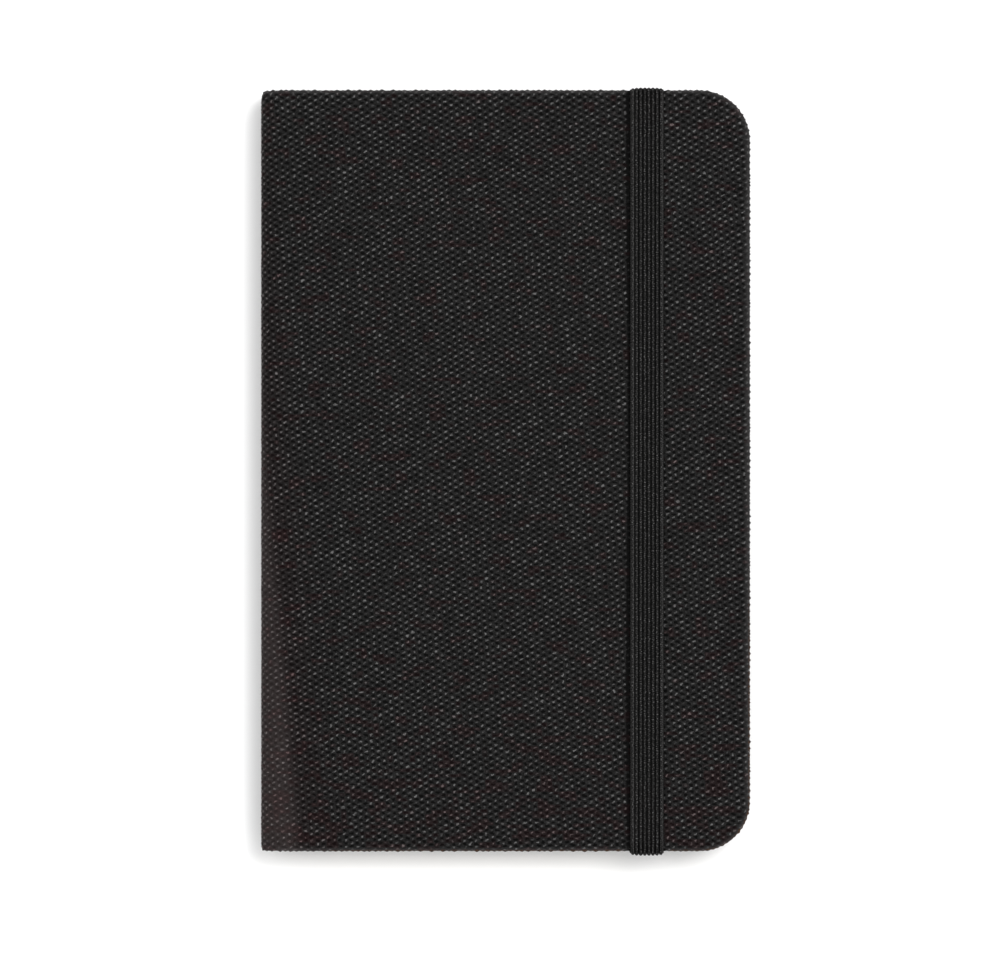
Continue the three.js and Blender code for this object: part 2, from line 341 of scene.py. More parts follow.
class Graph:
    """A material's node graph, with short names for the nodes a finish is made from."""

    def __init__(self, name: str) -> None:
        """Starts a material with a Principled shader and its output."""
        self.material = bpy.data.materials.new(name)
        self.material.use_nodes = True
        self.tree = self.material.node_tree
        self.tree.nodes.clear()
        self.shader = self.tree.nodes.new("ShaderNodeBsdfPrincipled")
        output = self.tree.nodes.new("ShaderNodeOutputMaterial")
        self.tree.links.new(self.shader.outputs["BSDF"], output.inputs["Surface"])

    def put(self, socket: Socket, value: object) -> None:
        """Links a socket to a socket, or sets its value."""
        if isinstance(value, bpy.types.NodeSocket):
            self.tree.links.new(value, socket)
        else:
            socket.default_value = value

    def math(self, operation: str, *values: object, clamp: bool = False) -> Socket:
        """The result of a Math node."""
        node = self.tree.nodes.new("ShaderNodeMath")
        node.operation = operation
        node.use_clamp = clamp
        for socket, value in zip(node.inputs, values):
            self.put(socket, value)
        return node.outputs[0]

    def between(self, value: object, low: float, high: float) -> Socket:
        """Where a value lies between two limits, eased from 0 to 1."""
        node = self.tree.nodes.new("ShaderNodeMapRange")
        node.interpolation_type = "SMOOTHSTEP"
        self.put(node.inputs["Value"], value)
        node.inputs["From Min"].default_value = low
        node.inputs["From Max"].default_value = high
        return node.outputs["Result"]

    def scaled(self, value: object, low: float, high: float) -> Socket:
        """A 0 to 1 value laid out evenly between two others."""
        node = self.tree.nodes.new("ShaderNodeMapRange")
        self.put(node.inputs["Value"], value)
        node.inputs["To Min"].default_value = low
        node.inputs["To Max"].default_value = high
        return node.outputs["Result"]

    def mix(self, share: object, first: object, second: object, how: str = "MIX") -> Socket:
        """Two colours mixed by a share."""
        node = self.tree.nodes.new("ShaderNodeMix")
        node.data_type = "RGBA"
        node.blend_type = how
        self.put(node.inputs[0], share)
        self.put(node.inputs[6], first)
        self.put(node.inputs[7], second)
        return node.outputs[2]

    def threads(self, name: str) -> tuple[Socket, Socket]:
        """The two numbers of the piece's own UV map."""
        node = self.tree.nodes.new("ShaderNodeUVMap")
        node.uv_map = name
        parts = self.tree.nodes.new("ShaderNodeSeparateXYZ")
        self.tree.links.new(node.outputs[0], parts.inputs[0])
        return parts.outputs[0], parts.outputs[1]

    def share(self, name: str) -> Socket:
        """A number that the piece's vertices hold."""
        node = self.tree.nodes.new("ShaderNodeAttribute")
        node.attribute_name = name
        return node.outputs["Fac"]

    def place(self) -> tuple[Socket, Socket, Socket]:
        """A point's X, Y and Z in the piece, in metres."""
        node = self.tree.nodes.new("ShaderNodeTexCoord")
        parts = self.tree.nodes.new("ShaderNodeSeparateXYZ")
        self.tree.links.new(node.outputs["Object"], parts.inputs[0])
        return parts.outputs[0], parts.outputs[1], parts.outputs[2]

    def vector(self, x: object, y: object, z: object = 0.0) -> Socket:
        """Three numbers as a vector."""
        node = self.tree.nodes.new("ShaderNodeCombineXYZ")
        for socket, value in zip(node.inputs, (x, y, z)):
            self.put(socket, value)
        return node.outputs[0]

    def noise(self, at: Socket, scale: float, detail: float = 2.0) -> Socket:
        """Cloudy noise from about 0.25 to 0.75."""
        node = self.tree.nodes.new("ShaderNodeTexNoise")
        self.put(node.inputs["Vector"], at)
        node.inputs["Scale"].default_value = scale
        node.inputs["Detail"].default_value = detail
        return node.outputs[0]

    def dice(self, at: Socket) -> Socket:
        """A random number from 0 to 1 for each place."""
        node = self.tree.nodes.new("ShaderNodeTexWhiteNoise")
        node.noise_dimensions = "3D"
        self.put(node.inputs["Vector"], at)
        return node.outputs["Value"]

    def bump(self, height: Socket, depth: float, strength: float = 1.0) -> None:
        """Raises the surface by a height of 0 to 1 times a depth in millimetres."""
        node = self.tree.nodes.new("ShaderNodeBump")
        node.inputs["Strength"].default_value = strength
        node.inputs["Distance"].default_value = depth * MM
        self.put(node.inputs["Height"], height)
        self.put(self.shader.inputs["Normal"], node.outputs[0])

    def set(self, **values: object) -> None:
        """Sets shader sockets by name, with _ for a space."""
        for name, value in values.items():
            self.put(self.shader.inputs[name.replace("_", " ")], value)


def grey(value: float, warmth: float = 0.0) -> Colour:
    """A linear grey, warmed towards red by a share."""
    return (value * (1 + warmth), value, value * (1 - warmth * 0.6), 1.0)


@dataclass(frozen=True)
class CanvasFinish:
    """Black plain-weave canvas, with its pattern counted in threads, painted shade in the cells between them
    and painted highlights on the floats.
    """

    name: str = "black_canvas"
    thread_map: str = "threads"
    rim_share: str = "rim"
    float_colour: float = 0.105
    # The cells between the threads are painted dark as shade.
    cell_colour: float = 0.0015
    sheen: float = 0.165
    twist_lean: float = -0.45
    wander: float = 0.9
    # Painted light: how bright the thread network and the glints on the floats are painted.
    net_light: float = 0.100
    glint_light: float = 0.66
    # Where the painted shadow beside the band lies, and how dark it is.
    rub_aside: float = 0.15
    rub_reach: tuple[float, float] = (0.2, 0.55)
    rub_keeps: float = 0.12
    # Painted sheen, added along the covers' edges.
    rim_pale: Colour = (0.020, 0.019, 0.019, 1.0)
    rim_brown: Colour = (0.066, 0.030, 0.013, 1.0)
    rim_spine_thread: float = 49.0
    warm_tint: Colour = (0.86, 0.6, 0.6, 1.0)
    warm_dye: Colour = (0.0032, 0.0008, 0.0010, 1.0)
    warm_spine_thread: float = 46.0
    # Painted sheen on the cloth over the spine's bend.
    worn_pale: Colour = (0.030, 0.024, 0.0235, 1.0)
    worn_spine_thread: float = 47.5
    worn_share: float = 0.38

    def make(self) -> bpy.types.Material:
        """Builds the material."""
        g = Graph(self.name)
        flat_p, flat_q = g.threads(self.thread_map)
        p, q = self._uneven(g, flat_p, flat_q)
        column, row = g.math("ROUND", p), g.math("ROUND", q)
        wave_p = g.math("COSINE", g.math("MULTIPLY", p, math.pi))
        wave_q = g.math("COSINE", g.math("MULTIPLY", q, math.pi))
        checker = g.math("MULTIPLY", wave_p, wave_q)
        weft_crown = self._crown(g, g.math("SUBTRACT", q, row), 0.56)
        warp_crown = self._crown(g, g.math("SUBTRACT", p, column), 0.6)
        crown = g.math("MAXIMUM", weft_crown, g.math("MULTIPLY", warp_crown, 0.8))
        height = g.math("MULTIPLY_ADD", checker, 0.6, g.math("MULTIPLY", crown, 0.4))

        fibre = g.noise(g.vector(g.math("MULTIPLY", p, 2.6), g.math("MULTIPLY", q, 2.0), 1.0), 1.7, 2.0)
        hair = g.noise(g.vector(g.math("MULTIPLY", p, 3.4), g.math("MULTIPLY", q, 2.1), 9.0), 1.0, 1.0)
        float_tone = g.dice(g.vector(column, row, 3.0))
        row_tone = g.noise(g.vector(g.math("MULTIPLY", p, 0.35), g.math("MULTIPLY", row, 7.3), 5.0), 1.0, 1.0)
        # Painted light and shade: the threads round the cells are painted lit, and darker towards each yarn's
        # edge.
        net = g.between(g.math("MULTIPLY_ADD", hair, 1.5, checker), 0.0, 0.75)
        net = g.math("MULTIPLY", net, g.scaled(crown, 0.45, 1.0))
        lean = g.math("MULTIPLY_ADD", g.math("SUBTRACT", q, row), self.twist_lean, p)
        across = g.math("SINE", g.math("MULTIPLY", lean, math.pi))
        spot = g.math("SUBTRACT", checker, g.math("MULTIPLY", g.math("MULTIPLY", across, across), 0.9))
        # Painted highlights: small slanted glints on the floats.
        glint = g.between(g.math("MULTIPLY_ADD", hair, 2.0, spot), 1.1, 2.0)
        glint = g.math("MULTIPLY", glint, g.scaled(float_tone, 0.25, 1.35))
        light = g.math("MULTIPLY_ADD", net, self.net_light, g.math("MULTIPLY", glint, self.glint_light))
        light = g.math("MULTIPLY", light, g.scaled(fibre, -0.6, 2.5))
        light = g.math("MULTIPLY", light, g.scaled(row_tone, 0.55, 1.45), clamp=True)
        # Painted shadow: a dark line beside the band's inner edge.
        light = g.math("MULTIPLY", light, self._rubbed(g, flat_p, flat_q))
        # The dark cells take the painted shade colour, and the lit threads take the float colour.
        colour = g.mix(light, grey(self.cell_colour, 0.02), grey(self.float_colour, 0.01))
        colour = self._warm_patches(g, colour, p, q)
        g.set(Base_Color=self._worn_rim(g, colour, flat_p, flat_q, hair))
        g.set(Roughness=g.scaled(fibre, 0.7, 0.95))
        g.set(Sheen_Weight=self.sheen, Sheen_Roughness=0.2, Specular_IOR_Level=0.04)
        g.set(Sheen_Tint=(1.0, 0.95, 0.93, 1.0))
        g.bump(g.math("MULTIPLY_ADD", fibre, 0.35, height), 0.16, 0.85)
        return g.material

    def _uneven(self, g: Graph, p: Socket, q: Socket) -> tuple[Socket, Socket]:
        """Pushes each thread a little off its line, as spun yarn lies."""
        at = g.vector(p, q, 0.0)
        first = g.math("SUBTRACT", g.noise(at, 0.9, 2.0), 0.5)
        aside = g.vector(q, p, 11.0)
        second = g.math("SUBTRACT", g.noise(aside, 0.9, 2.0), 0.5)
        return g.math("MULTIPLY_ADD", first, self.wander, p), g.math("MULTIPLY_ADD", second, self.wander, q)

    @staticmethod
    def _crown(g: Graph, off: Socket, half: float) -> Socket:
        """A yarn's round back across its width, from 0 at its edges to 1."""
        share = g.math("DIVIDE", off, half)
        return g.math("SQRT", g.math("SUBTRACT", 1.0, g.math("MULTIPLY", share, share), clamp=True))

    def _rubbed(self, g: Graph, p: Socket, q: Socket) -> Socket:
        """The painted shadow on the front: a dark line along the band's inner edge.

        Args:
            g: The graph.
            p: The place counted in warp threads.
            q: The place counted in weft threads.

        Returns:
            The share of its light that the cloth keeps.
        """
        (a, b), (c, d) = CaseWrap.column_count, CaseWrap.row_count
        det = a * d - b * c
        x = g.math("MULTIPLY_ADD", p, d / det, g.math("MULTIPLY", q, -b / det))
        edge = span("elastic_front_run", 0)[0] - self.rub_aside
        off = g.math("ABSOLUTE", g.math("SUBTRACT", x, edge))
        return g.scaled(g.between(off, *self.rub_reach), self.rub_keeps, 1.0)

    def _worn_rim(self, g: Graph, colour: Socket, p: Socket, q: Socket, hair: Socket) -> Socket:
        """Pales the cloth along the covers' edges as painted sheen, and browns its threads low down.

        Args:
            g: The graph.
            colour: The cloth's colour so far.
            p: The place counted in warp threads.
            q: The place counted in weft threads.
            hair: The yarn's fine unevenness.

        Returns:
            The colour with its painted edge sheen and browned threads.
        """
        rim = g.share(self.rim_share)
        # Painted sheen: the cloth is paled where it turns over the edges.
        edge_sheen = g.mix(rim, colour, self.rim_pale, "ADD")
        off_spine = g.between(g.math("ABSOLUTE", g.math("ADD", p, self.rim_spine_thread)), 9.0, 14.0)
        browned = g.math("MULTIPLY", g.between(rim, 0.86, 1.0), g.between(q, -20.0, -70.0))
        browned = g.math("MULTIPLY", g.math("MULTIPLY", browned, off_spine), g.between(hair, 0.36, 0.6))
        return g.mix(g.math("MULTIPLY", browned, 0.85), edge_sheen, self.rim_brown)

    def _warm_patches(self, g: Graph, colour: Socket, p: Socket, q: Socket) -> Socket:
        """Warms single floats and short runs of thread, and pales the bend at the spine as painted sheen.

        Args:
            g: The graph.
            colour: The cloth's colour so far.
            p: The place counted in warp threads.
            q: The place counted in weft threads.

        Returns:
            The warmed colour, with painted sheen on the spine's bend.
        """
        cell = g.vector(g.math("MULTIPLY", g.math("ROUND", p), 0.23),
                        g.math("MULTIPLY", g.math("ROUND", q), 0.31), 4.0)
        cloud = g.noise(cell, 1.0, 3.0)
        low_down = g.between(q, -40.0, -116.0)
        chance = g.between(g.math("MULTIPLY_ADD", low_down, 0.06, cloud), 0.55, 0.64)
        bend = g.between(g.math("ABSOLUTE", g.math("ADD", p, self.warm_spine_thread)), 12.0, 3.0)
        chance = g.math("ADD", g.math("MULTIPLY", chance, 0.7), g.math("MULTIPLY", bend, 0.35), clamp=True)
        warm = g.mix(1.0, colour, self.warm_tint, "MULTIPLY")
        warm = g.mix(1.0, warm, self.warm_dye, "ADD")
        # Painted sheen: the cloth over the spine's bend is paled.
        spine_sheen = g.between(g.math("ABSOLUTE", g.math("ADD", p, self.worn_spine_thread)), 6.6, 3.0)
        warmed = g.mix(chance, colour, warm)
        return g.mix(g.math("MULTIPLY", spine_sheen, self.worn_share), warmed, self.worn_pale, "ADD")


@dataclass(frozen=True)
class ElasticFinish:
    """Black braided elastic: covered rubber ribs with a short pick, given painted highlights and painted
    shade in the grooves.
    """

    name: str = "black_elastic"
    braid_map: str = "braid"
    rib_colour: float = 0.0195
    # The grooves are painted dark as shade.
    groove_colour: float = 0.0006
    # Where the painted highlight lines of the two edge cords lie.
    edge_lines: tuple[float, float] = (0.74, 7.84)
    brightest: float = 5.0

    def make(self) -> bpy.types.Material:
        """Builds the material."""
        g = Graph(self.name)
        rib, pick = g.threads(self.braid_map)
        odd = g.math("PINGPONG", g.math("FLOOR", rib), 1.0)
        step = g.math("MULTIPLY_ADD", odd, 0.5, pick)
        crown = g.math("ABSOLUTE", g.math("SINE", g.math("MULTIPLY", rib, math.pi)))
        crest = g.math("MULTIPLY_ADD", g.math("COSINE", g.math("MULTIPLY", step, 2 * math.pi)), 0.5, 0.5)
        fine = g.noise(g.vector(g.math("MULTIPLY", rib, 2.3), g.math("MULTIPLY", pick, 1.1), 2.0), 1.5, 2.0)
        glint_speck = g.noise(g.vector(g.math("MULTIPLY", rib, 3.4), g.math("MULTIPLY", pick, 1.2), 8.0), 1.0, 1.0)
        fluff = g.between(fine, 0.3, 0.68)
        # Painted light: the ribs' backs and the picks' crests are painted lit, and the grooves dark.
        light = g.math("MULTIPLY", g.between(crown, 0.35, 1.0), g.scaled(crest, 0.35, 0.75))
        light = g.math("MULTIPLY", light, g.scaled(fluff, 0.25, 1.9))
        # Painted highlights: random bright specks along the ribs.
        light = g.math("MULTIPLY", light, g.scaled(g.between(glint_speck, 0.5, 0.72), 0.7, 4.6))
        selvage = g.between(g.math("ABSOLUTE", g.math("SUBTRACT", rib, 4.0)), 3.25, 3.35)
        light = g.math("MAXIMUM", light, g.math("MULTIPLY", selvage, g.scaled(fluff, 0.1, 0.75)))
        # Painted highlights: a thin bright line along each edge cord.
        for line in self.edge_lines:
            off = g.math("ABSOLUTE", g.math("SUBTRACT", rib, line))
            bright = g.math("MULTIPLY", g.between(off, 0.17, 0.04), g.scaled(fluff, 0.35, 2.1))
            light = g.math("MAXIMUM", light, bright)
        share = g.math("DIVIDE", light, self.brightest, clamp=True)
        g.set(Base_Color=g.mix(share, grey(self.groove_colour), grey(self.rib_colour * self.brightest, 0.02)))
        g.set(Roughness=g.scaled(fine, 0.5, 0.8))
        g.set(Sheen_Weight=0.05, Sheen_Roughness=0.2, Specular_IOR_Level=0.04)
        g.bump(g.math("MULTIPLY_ADD", crest, 0.3, g.math("MULTIPLY", fine, 0.5)), 0.06, 0.8)
        return g.material


@dataclass(frozen=True)
class PaperFinish:
    """Uncoated paper with a soft fibre grain."""

    name: str
    colour: Colour
    mottling: float = 0.06
    roughness: float = 0.8

    def make(self) -> bpy.types.Material:
        """Builds the material."""
        g = Graph(self.name)
        x, y, z = g.place()
        at = g.vector(x, y, z)
        cloud = g.noise(at, 55.0, 3.0)
        fibre = g.noise(g.vector(g.math("MULTIPLY", x, 0.35), y, z), 5200.0, 3.0)
        dark = tuple(c * (1 - self.mottling * 2) for c in self.colour[:3]) + (1.0,)
        share = g.math("MULTIPLY_ADD", cloud, 0.6, g.math("MULTIPLY", fibre, 0.4))
        g.set(Base_Color=g.mix(share, dark, self.colour))
        g.set(Roughness=g.scaled(fibre, self.roughness - 0.08, self.roughness + 0.1))
        g.set(Specular_IOR_Level=0.3)
        g.bump(fibre, 0.02, 0.5)
        return g.material


@dataclass(frozen=True)
class BoardFinish:
    """Grey bookbinder's board, flecked with pulp."""

    name: str = "grey_board"

    def make(self) -> bpy.types.Material:
        """Builds the material."""
        g = Graph(self.name)
        x, y, z = g.place()
        fleck = g.noise(g.vector(x, y, g.math("MULTIPLY", z, 4.0)), 1400.0, 4.0)
        layer = g.noise(g.vector(g.math("MULTIPLY", x, 0.05), g.math("MULTIPLY", y, 0.05), z), 6000.0, 2.0)
        share = g.math("MULTIPLY_ADD", fleck, 0.65, g.math("MULTIPLY", layer, 0.35))
        g.set(Base_Color=g.mix(g.between(share, 0.35, 0.65), (0.17, 0.16, 0.14, 1), (0.33, 0.31, 0.27, 1)))
        g.set(Roughness=g.scaled(fleck, 0.82, 0.98), Specular_IOR_Level=0.2)
        g.bump(fleck, 0.08, 0.8)
        return g.material


@dataclass(frozen=True)
class YarnFinish:
    """Twisted thread, striped along its own length where it has two colours."""

    name: str
    first: Colour
    second: Colour
    twist_map: str = "twist"
    sheen: float = 0.3

    def make(self) -> bpy.types.Material:
        """Builds the material."""
        g = Graph(self.name)
        around, along = g.threads(self.twist_map)
        turn = g.math("MULTIPLY_ADD", around, 2.0, along)
        ply = g.math("MULTIPLY_ADD", g.math("COSINE", g.math("MULTIPLY", turn, 2 * math.pi)), 0.5, 0.5)
        place = g.vector(g.math("MULTIPLY", around, 8.0), g.math("MULTIPLY", along, 2.0), 0.5)
        fine = g.noise(place, 3.0, 2.0)
        stripe = g.between(g.math("PINGPONG", g.math("FLOOR", along), 1.0), 0.2, 0.8)
        colour = g.mix(stripe, self.first, self.second)
        colour = g.mix(g.math("MULTIPLY", fine, 0.35), colour, (0.2, 0.18, 0.15, 1.0), "MULTIPLY")
        g.set(Base_Color=colour, Roughness=g.scaled(fine, 0.5, 0.8))
        g.set(Sheen_Weight=self.sheen, Sheen_Roughness=0.4)
        g.bump(g.math("MULTIPLY_ADD", fine, 0.4, ply), 0.05, 0.7)
        return g.material


@dataclass(frozen=True)
class FloorFinish:
    """The white table that the notebook lies on."""

    name: str = "white_table"

    def make(self) -> bpy.types.Material:
        """Builds the material."""
        g = Graph(self.name)
        g.set(Base_Color=(0.92, 0.92, 0.92, 1.0), Roughness=0.9, Specular_IOR_Level=0.1)
        return g.material


# ---- Case: the cloth ----------------------------------------------------------------


@dataclass(frozen=True)
class Edge:
    """How the cloth turns over an edge: out and down, round under, and in again."""

    reach: float
    fall: float
    depth: float
    under_reach: float
    under_fall: float
    turn_in: float


@dataclass
class CaseWrap:
    """The cloth's surface round the case, over its flat cut.

    Flat X runs from the back cover's fore-edge, round the spine, to the front cover's.
    It is 0 at the front joint's own place when the cloth is laid on the front cover.
    """

    shoulder: float = 4.0
    corner: float = 9.2
    fore_reach: float = 2.2
    cover_head: Edge = Edge(1.5, 1.25, 2.6, 0.8, 1.0, 3.5)
    spine_head: Edge = Edge(1.7, 0.9, 1.15, 0.25, 0.25, 2.6)
    spine_tail: Edge = Edge(0.7, 0.6, 1.15, 0.25, 0.25, 2.6)
    column_count: tuple[float, float] = (0.963, 0.0846)
    row_count: tuple[float, float] = (-0.0266, 1.662)
    weave: float = 0.115
    band_press: float = 0.14
    band_fade: float = 0.7
    rim_clearance: float = 0.15
    rim_lift: float = 0.6

    @property
    def spine_half(self) -> float:
        """Half the flat height of the spine between the shoulders."""
        return LEVELS.front_face - self.shoulder - LEVELS.middle

    @property
    def to_joint(self) -> float:
        """The cloth's length from the middle of the spine to a cover's joint line."""
        return self.spine_half + self.shoulder * math.pi / 2

    @property
    def spine_middle(self) -> float:
        """Flat X at the middle of the spine."""
        return LEVELS.joint_x - self.to_joint

    def threads_at(self, x: Points, y: Points) -> tuple[Points, Points]:
        """Counts threads at a flat place.

        Args:
            x: Flat X in millimetres.
            y: Flat Y in millimetres.

        Returns:
            The warp and the weft thread numbers, with fractions.
        """
        p = self.column_count[0] * x + self.column_count[1] * y
        q = self.row_count[0] * x + self.row_count[1] * y
        return p, q

    def flat_at(self, p: Points, q: Points) -> tuple[Points, Points]:
        """The flat place of a count of threads, with the small drift of a real weave."""
        a, b = self.column_count
        c, d = self.row_count
        det = a * d - b * c
        x = (d * p - b * q) / det
        y = (a * q - c * p) / det
        x = x + 0.16 * np.sin(0.061 * y + 0.9) * np.sin(0.043 * x + 0.3)
        y = y + 0.12 * np.sin(0.075 * x + 0.02 * y + 2.1)
        table = np.random.default_rng(3).normal(0, 1, (2, 1280, 1280))
        column, row = np.rint(2 * p).astype(int) + 640, np.rint(2 * q).astype(int) + 640
        return x + 0.035 * table[0, column, row], y + 0.025 * table[1, column, row]

    def under_band(self, x: Points, margin: float) -> Points:
        """How far a flat place lies under the band.

        Args:
            x: Flat X in millimetres.
            margin: How far past the band's edges it still counts, in millimetres.

        Returns:
            The shares, from 0 in the open to 1 under the band.
        """
        band_low, band_high = span("elastic_front_run", 0)
        middle, half = (band_low + band_high) / 2, (band_high - band_low) / 2
        cover_x = np.abs(x - self.spine_middle) - self.to_joint + LEVELS.joint_x
        return 1 - ease((np.abs(cover_x - middle) - half - margin) / self.band_fade)

    def pressed(self, x: Points) -> Points:
        """How far the band presses the cloth in, in millimetres."""
        return self.band_press * self.under_band(x, -self.band_fade / 2)

    @staticmethod
    def fullness(p: Points, q: Points) -> Points:
        """How full the yarn is at each crossing, near 1."""
        table = np.random.default_rng(7).uniform(0.5, 1.4, (640, 640))
        return table[np.rint(p).astype(int) + 320, np.rint(q).astype(int) + 320]

    def section(self, w: Points) -> tuple[Points, Points, Points, Points]:
        """The case's outline in X and Z, and its outward direction.

        Args:
            w: The distance along it from the middle of the spine, front side positive.

        Returns:
            X, Z and the two parts of the outward direction.
        """
        a = np.abs(w)
        t = np.clip((a - self.spine_half) / self.shoulder, 0, math.pi / 2)
        x = LEVELS.joint_x - self.shoulder * np.cos(t)
        x = x + np.maximum(a - self.to_joint, 0)
        rise = np.minimum(a, self.spine_half) + self.shoulder * np.sin(t)
        side = np.where(w < 0, -1.0, 1.0)
        return x, LEVELS.middle + side * rise, -np.cos(t), side * np.sin(t)

    def _edge(self, w: Points, head: Points) -> dict[str, Points]:
        """The edge's sizes at each place, between the spine's and a cover's."""
        a = np.abs(w)
        angle = (a - self.spine_half) / self.shoulder
        share = ease((angle - math.radians(50)) / math.radians(45))
        sizes = {}
        for name in Edge.__dataclass_fields__:
            spine = np.where(head, getattr(self.spine_head, name), getattr(self.spine_tail, name))
            sizes[name] = spine * (1 - share) + getattr(self.cover_head, name) * share
        return sizes

    def _outside(self, w: Points, y: Points) -> tuple[Points, ...]:
        """How far past the flat of the case a place on the flat cloth lies.

        Args:
            w: The distance along the section from the middle of the spine.
            y: Flat Y.

        Returns:
            The place where the flat ends (w, y), the direction out, the distance out,
            and the edge's sizes there.
        """
        side = np.where(w < 0, -1.0, 1.0)
        u = np.abs(w) - self.to_joint + LEVELS.joint_x
        v = np.abs(y)
        edge = self._edge(w, y > 0)
        centre_u = LEVELS.fore_x - self.corner
        centre_v = LEVELS.head_y - self.corner
        du, dv = u - centre_u, v - centre_v
        in_corner = (du > 0) & (dv > 0)
        theta = np.arctan2(dv, du)
        fore_share = np.where(in_corner, np.cos(theta) ** 2, 0.0)
        past_fore = (du > self.corner - self.fore_reach) & ~in_corner & (dv <= 0)
        fore_share = np.where(past_fore, 1.0, fore_share)
        edge["reach"] = edge["reach"] + (self.fore_reach - edge["reach"]) * fore_share
        flat_radius = self.corner - edge["reach"]
        radius = np.hypot(du, dv)
        out_u = np.where(in_corner, np.cos(theta), np.where(past_fore, 1.0, 0.0))
        out_v = np.where(in_corner, np.sin(theta), np.where(past_fore, 0.0, 1.0))
        far = np.where(in_corner, radius - flat_radius,
                       np.where(past_fore, du - flat_radius, v - (LEVELS.head_y - edge["reach"])))
        far = np.maximum(far, 0)
        start_u = u - out_u * far
        start_v = v - out_v * far
        start_w = side * (start_u - LEVELS.joint_x + self.to_joint)
        upright = np.where(y < 0, -1, 1)
        return start_w, start_v * upright, side * out_u, out_v * upright, far, edge

    @staticmethod
    def _lengths(edge: dict[str, Points]) -> tuple[Points, Points, Points, Points]:
        """The cloth's length over each part of the edge."""
        over = math.pi / 2 * np.sqrt((edge["reach"] ** 2 + edge["fall"] ** 2) / 2)
        down = edge["depth"] - edge["fall"] - edge["under_fall"]
        under = math.pi / 2 * np.sqrt((edge["under_reach"] ** 2 + edge["under_fall"] ** 2) / 2)
        return over, down, under, edge["turn_in"]

    def beyond(self, x: Points, y: Points) -> Points:
        """How far a flat place lies past the end of the turn-in, below 0 on the cloth."""
        *_, far, edge = self._outside(x - self.spine_middle, y)
        return far - sum(self._lengths(edge))

    def rim(self, x: Points, y: Points) -> Points:
        """How near a flat place lies to the outermost line of an edge, from 0 to 1."""
        *_, far, edge = self._outside(x - self.spine_middle, y)
        over, *_ = self._lengths(edge)
        turned = np.sin(np.clip(far / over, 0, 1) * math.pi / 2)
        open_edge = 1 - self.under_band(x, self.rim_clearance)
        return ease((turned - 0.45) / 0.5) * (1 - ease((far - over) / 0.6)) * open_edge

    def lay(self, x: Points, y: Points) -> Points:
        """The place in the notebook of a flat place on the cloth.

        Args:
            x: Flat X in millimetres.
            y: Flat Y in millimetres.

        Returns:
            The places as an array of millimetres.
        """
        w, v, out_w, out_v, far, edge = self._outside(x - self.spine_middle, y)
        over, down, under, turn_in = self._lengths(edge)
        far = np.minimum(far, over + down + under + turn_in)
        phi = np.clip(far / over, 0, 1) * math.pi / 2
        psi = np.clip((far - over - down) / under, 0, 1) * math.pi / 2
        inwards = np.maximum(far - over - down - under, 0)
        reach = edge["reach"] * np.sin(phi) - edge["under_reach"] * (1 - np.cos(psi)) - inwards
        turned_under = edge["under_fall"] * np.sin(psi)
        depth = edge["fall"] * (1 - np.cos(phi)) + np.clip(far - over, 0, down) + turned_under
        sx, sz, nx, nz = self.section(w + out_w * reach)
        return np.stack([sx - nx * depth, v + out_v * reach, sz - nz * depth], 1)

    def lay_raised(self, x: Points, y: Points, lift: Points) -> Points:
        """Like lay, raised off the surface by a lift for each place."""
        step = 0.04
        right, left = self.lay(x + step, y), self.lay(x - step, y)
        ahead, behind = self.lay(x, y + step), self.lay(x, y - step)
        normal = np.cross(right - left, ahead - behind)
        length = np.linalg.norm(normal, axis=1, keepdims=True)
        normal = normal / np.maximum(length, 1e-9)
        return self.lay(x, y) + normal * lift[:, None]


class Part(Enum):
    """The stretches of the case's cloth, from the back cover round to the front."""

    BACK = "back_cover_canvas"
    SPINE_BACK = "spine_canvas_back"
    SPINE_FRONT = "spine_canvas_front"
    FRONT = "front_cover_canvas"


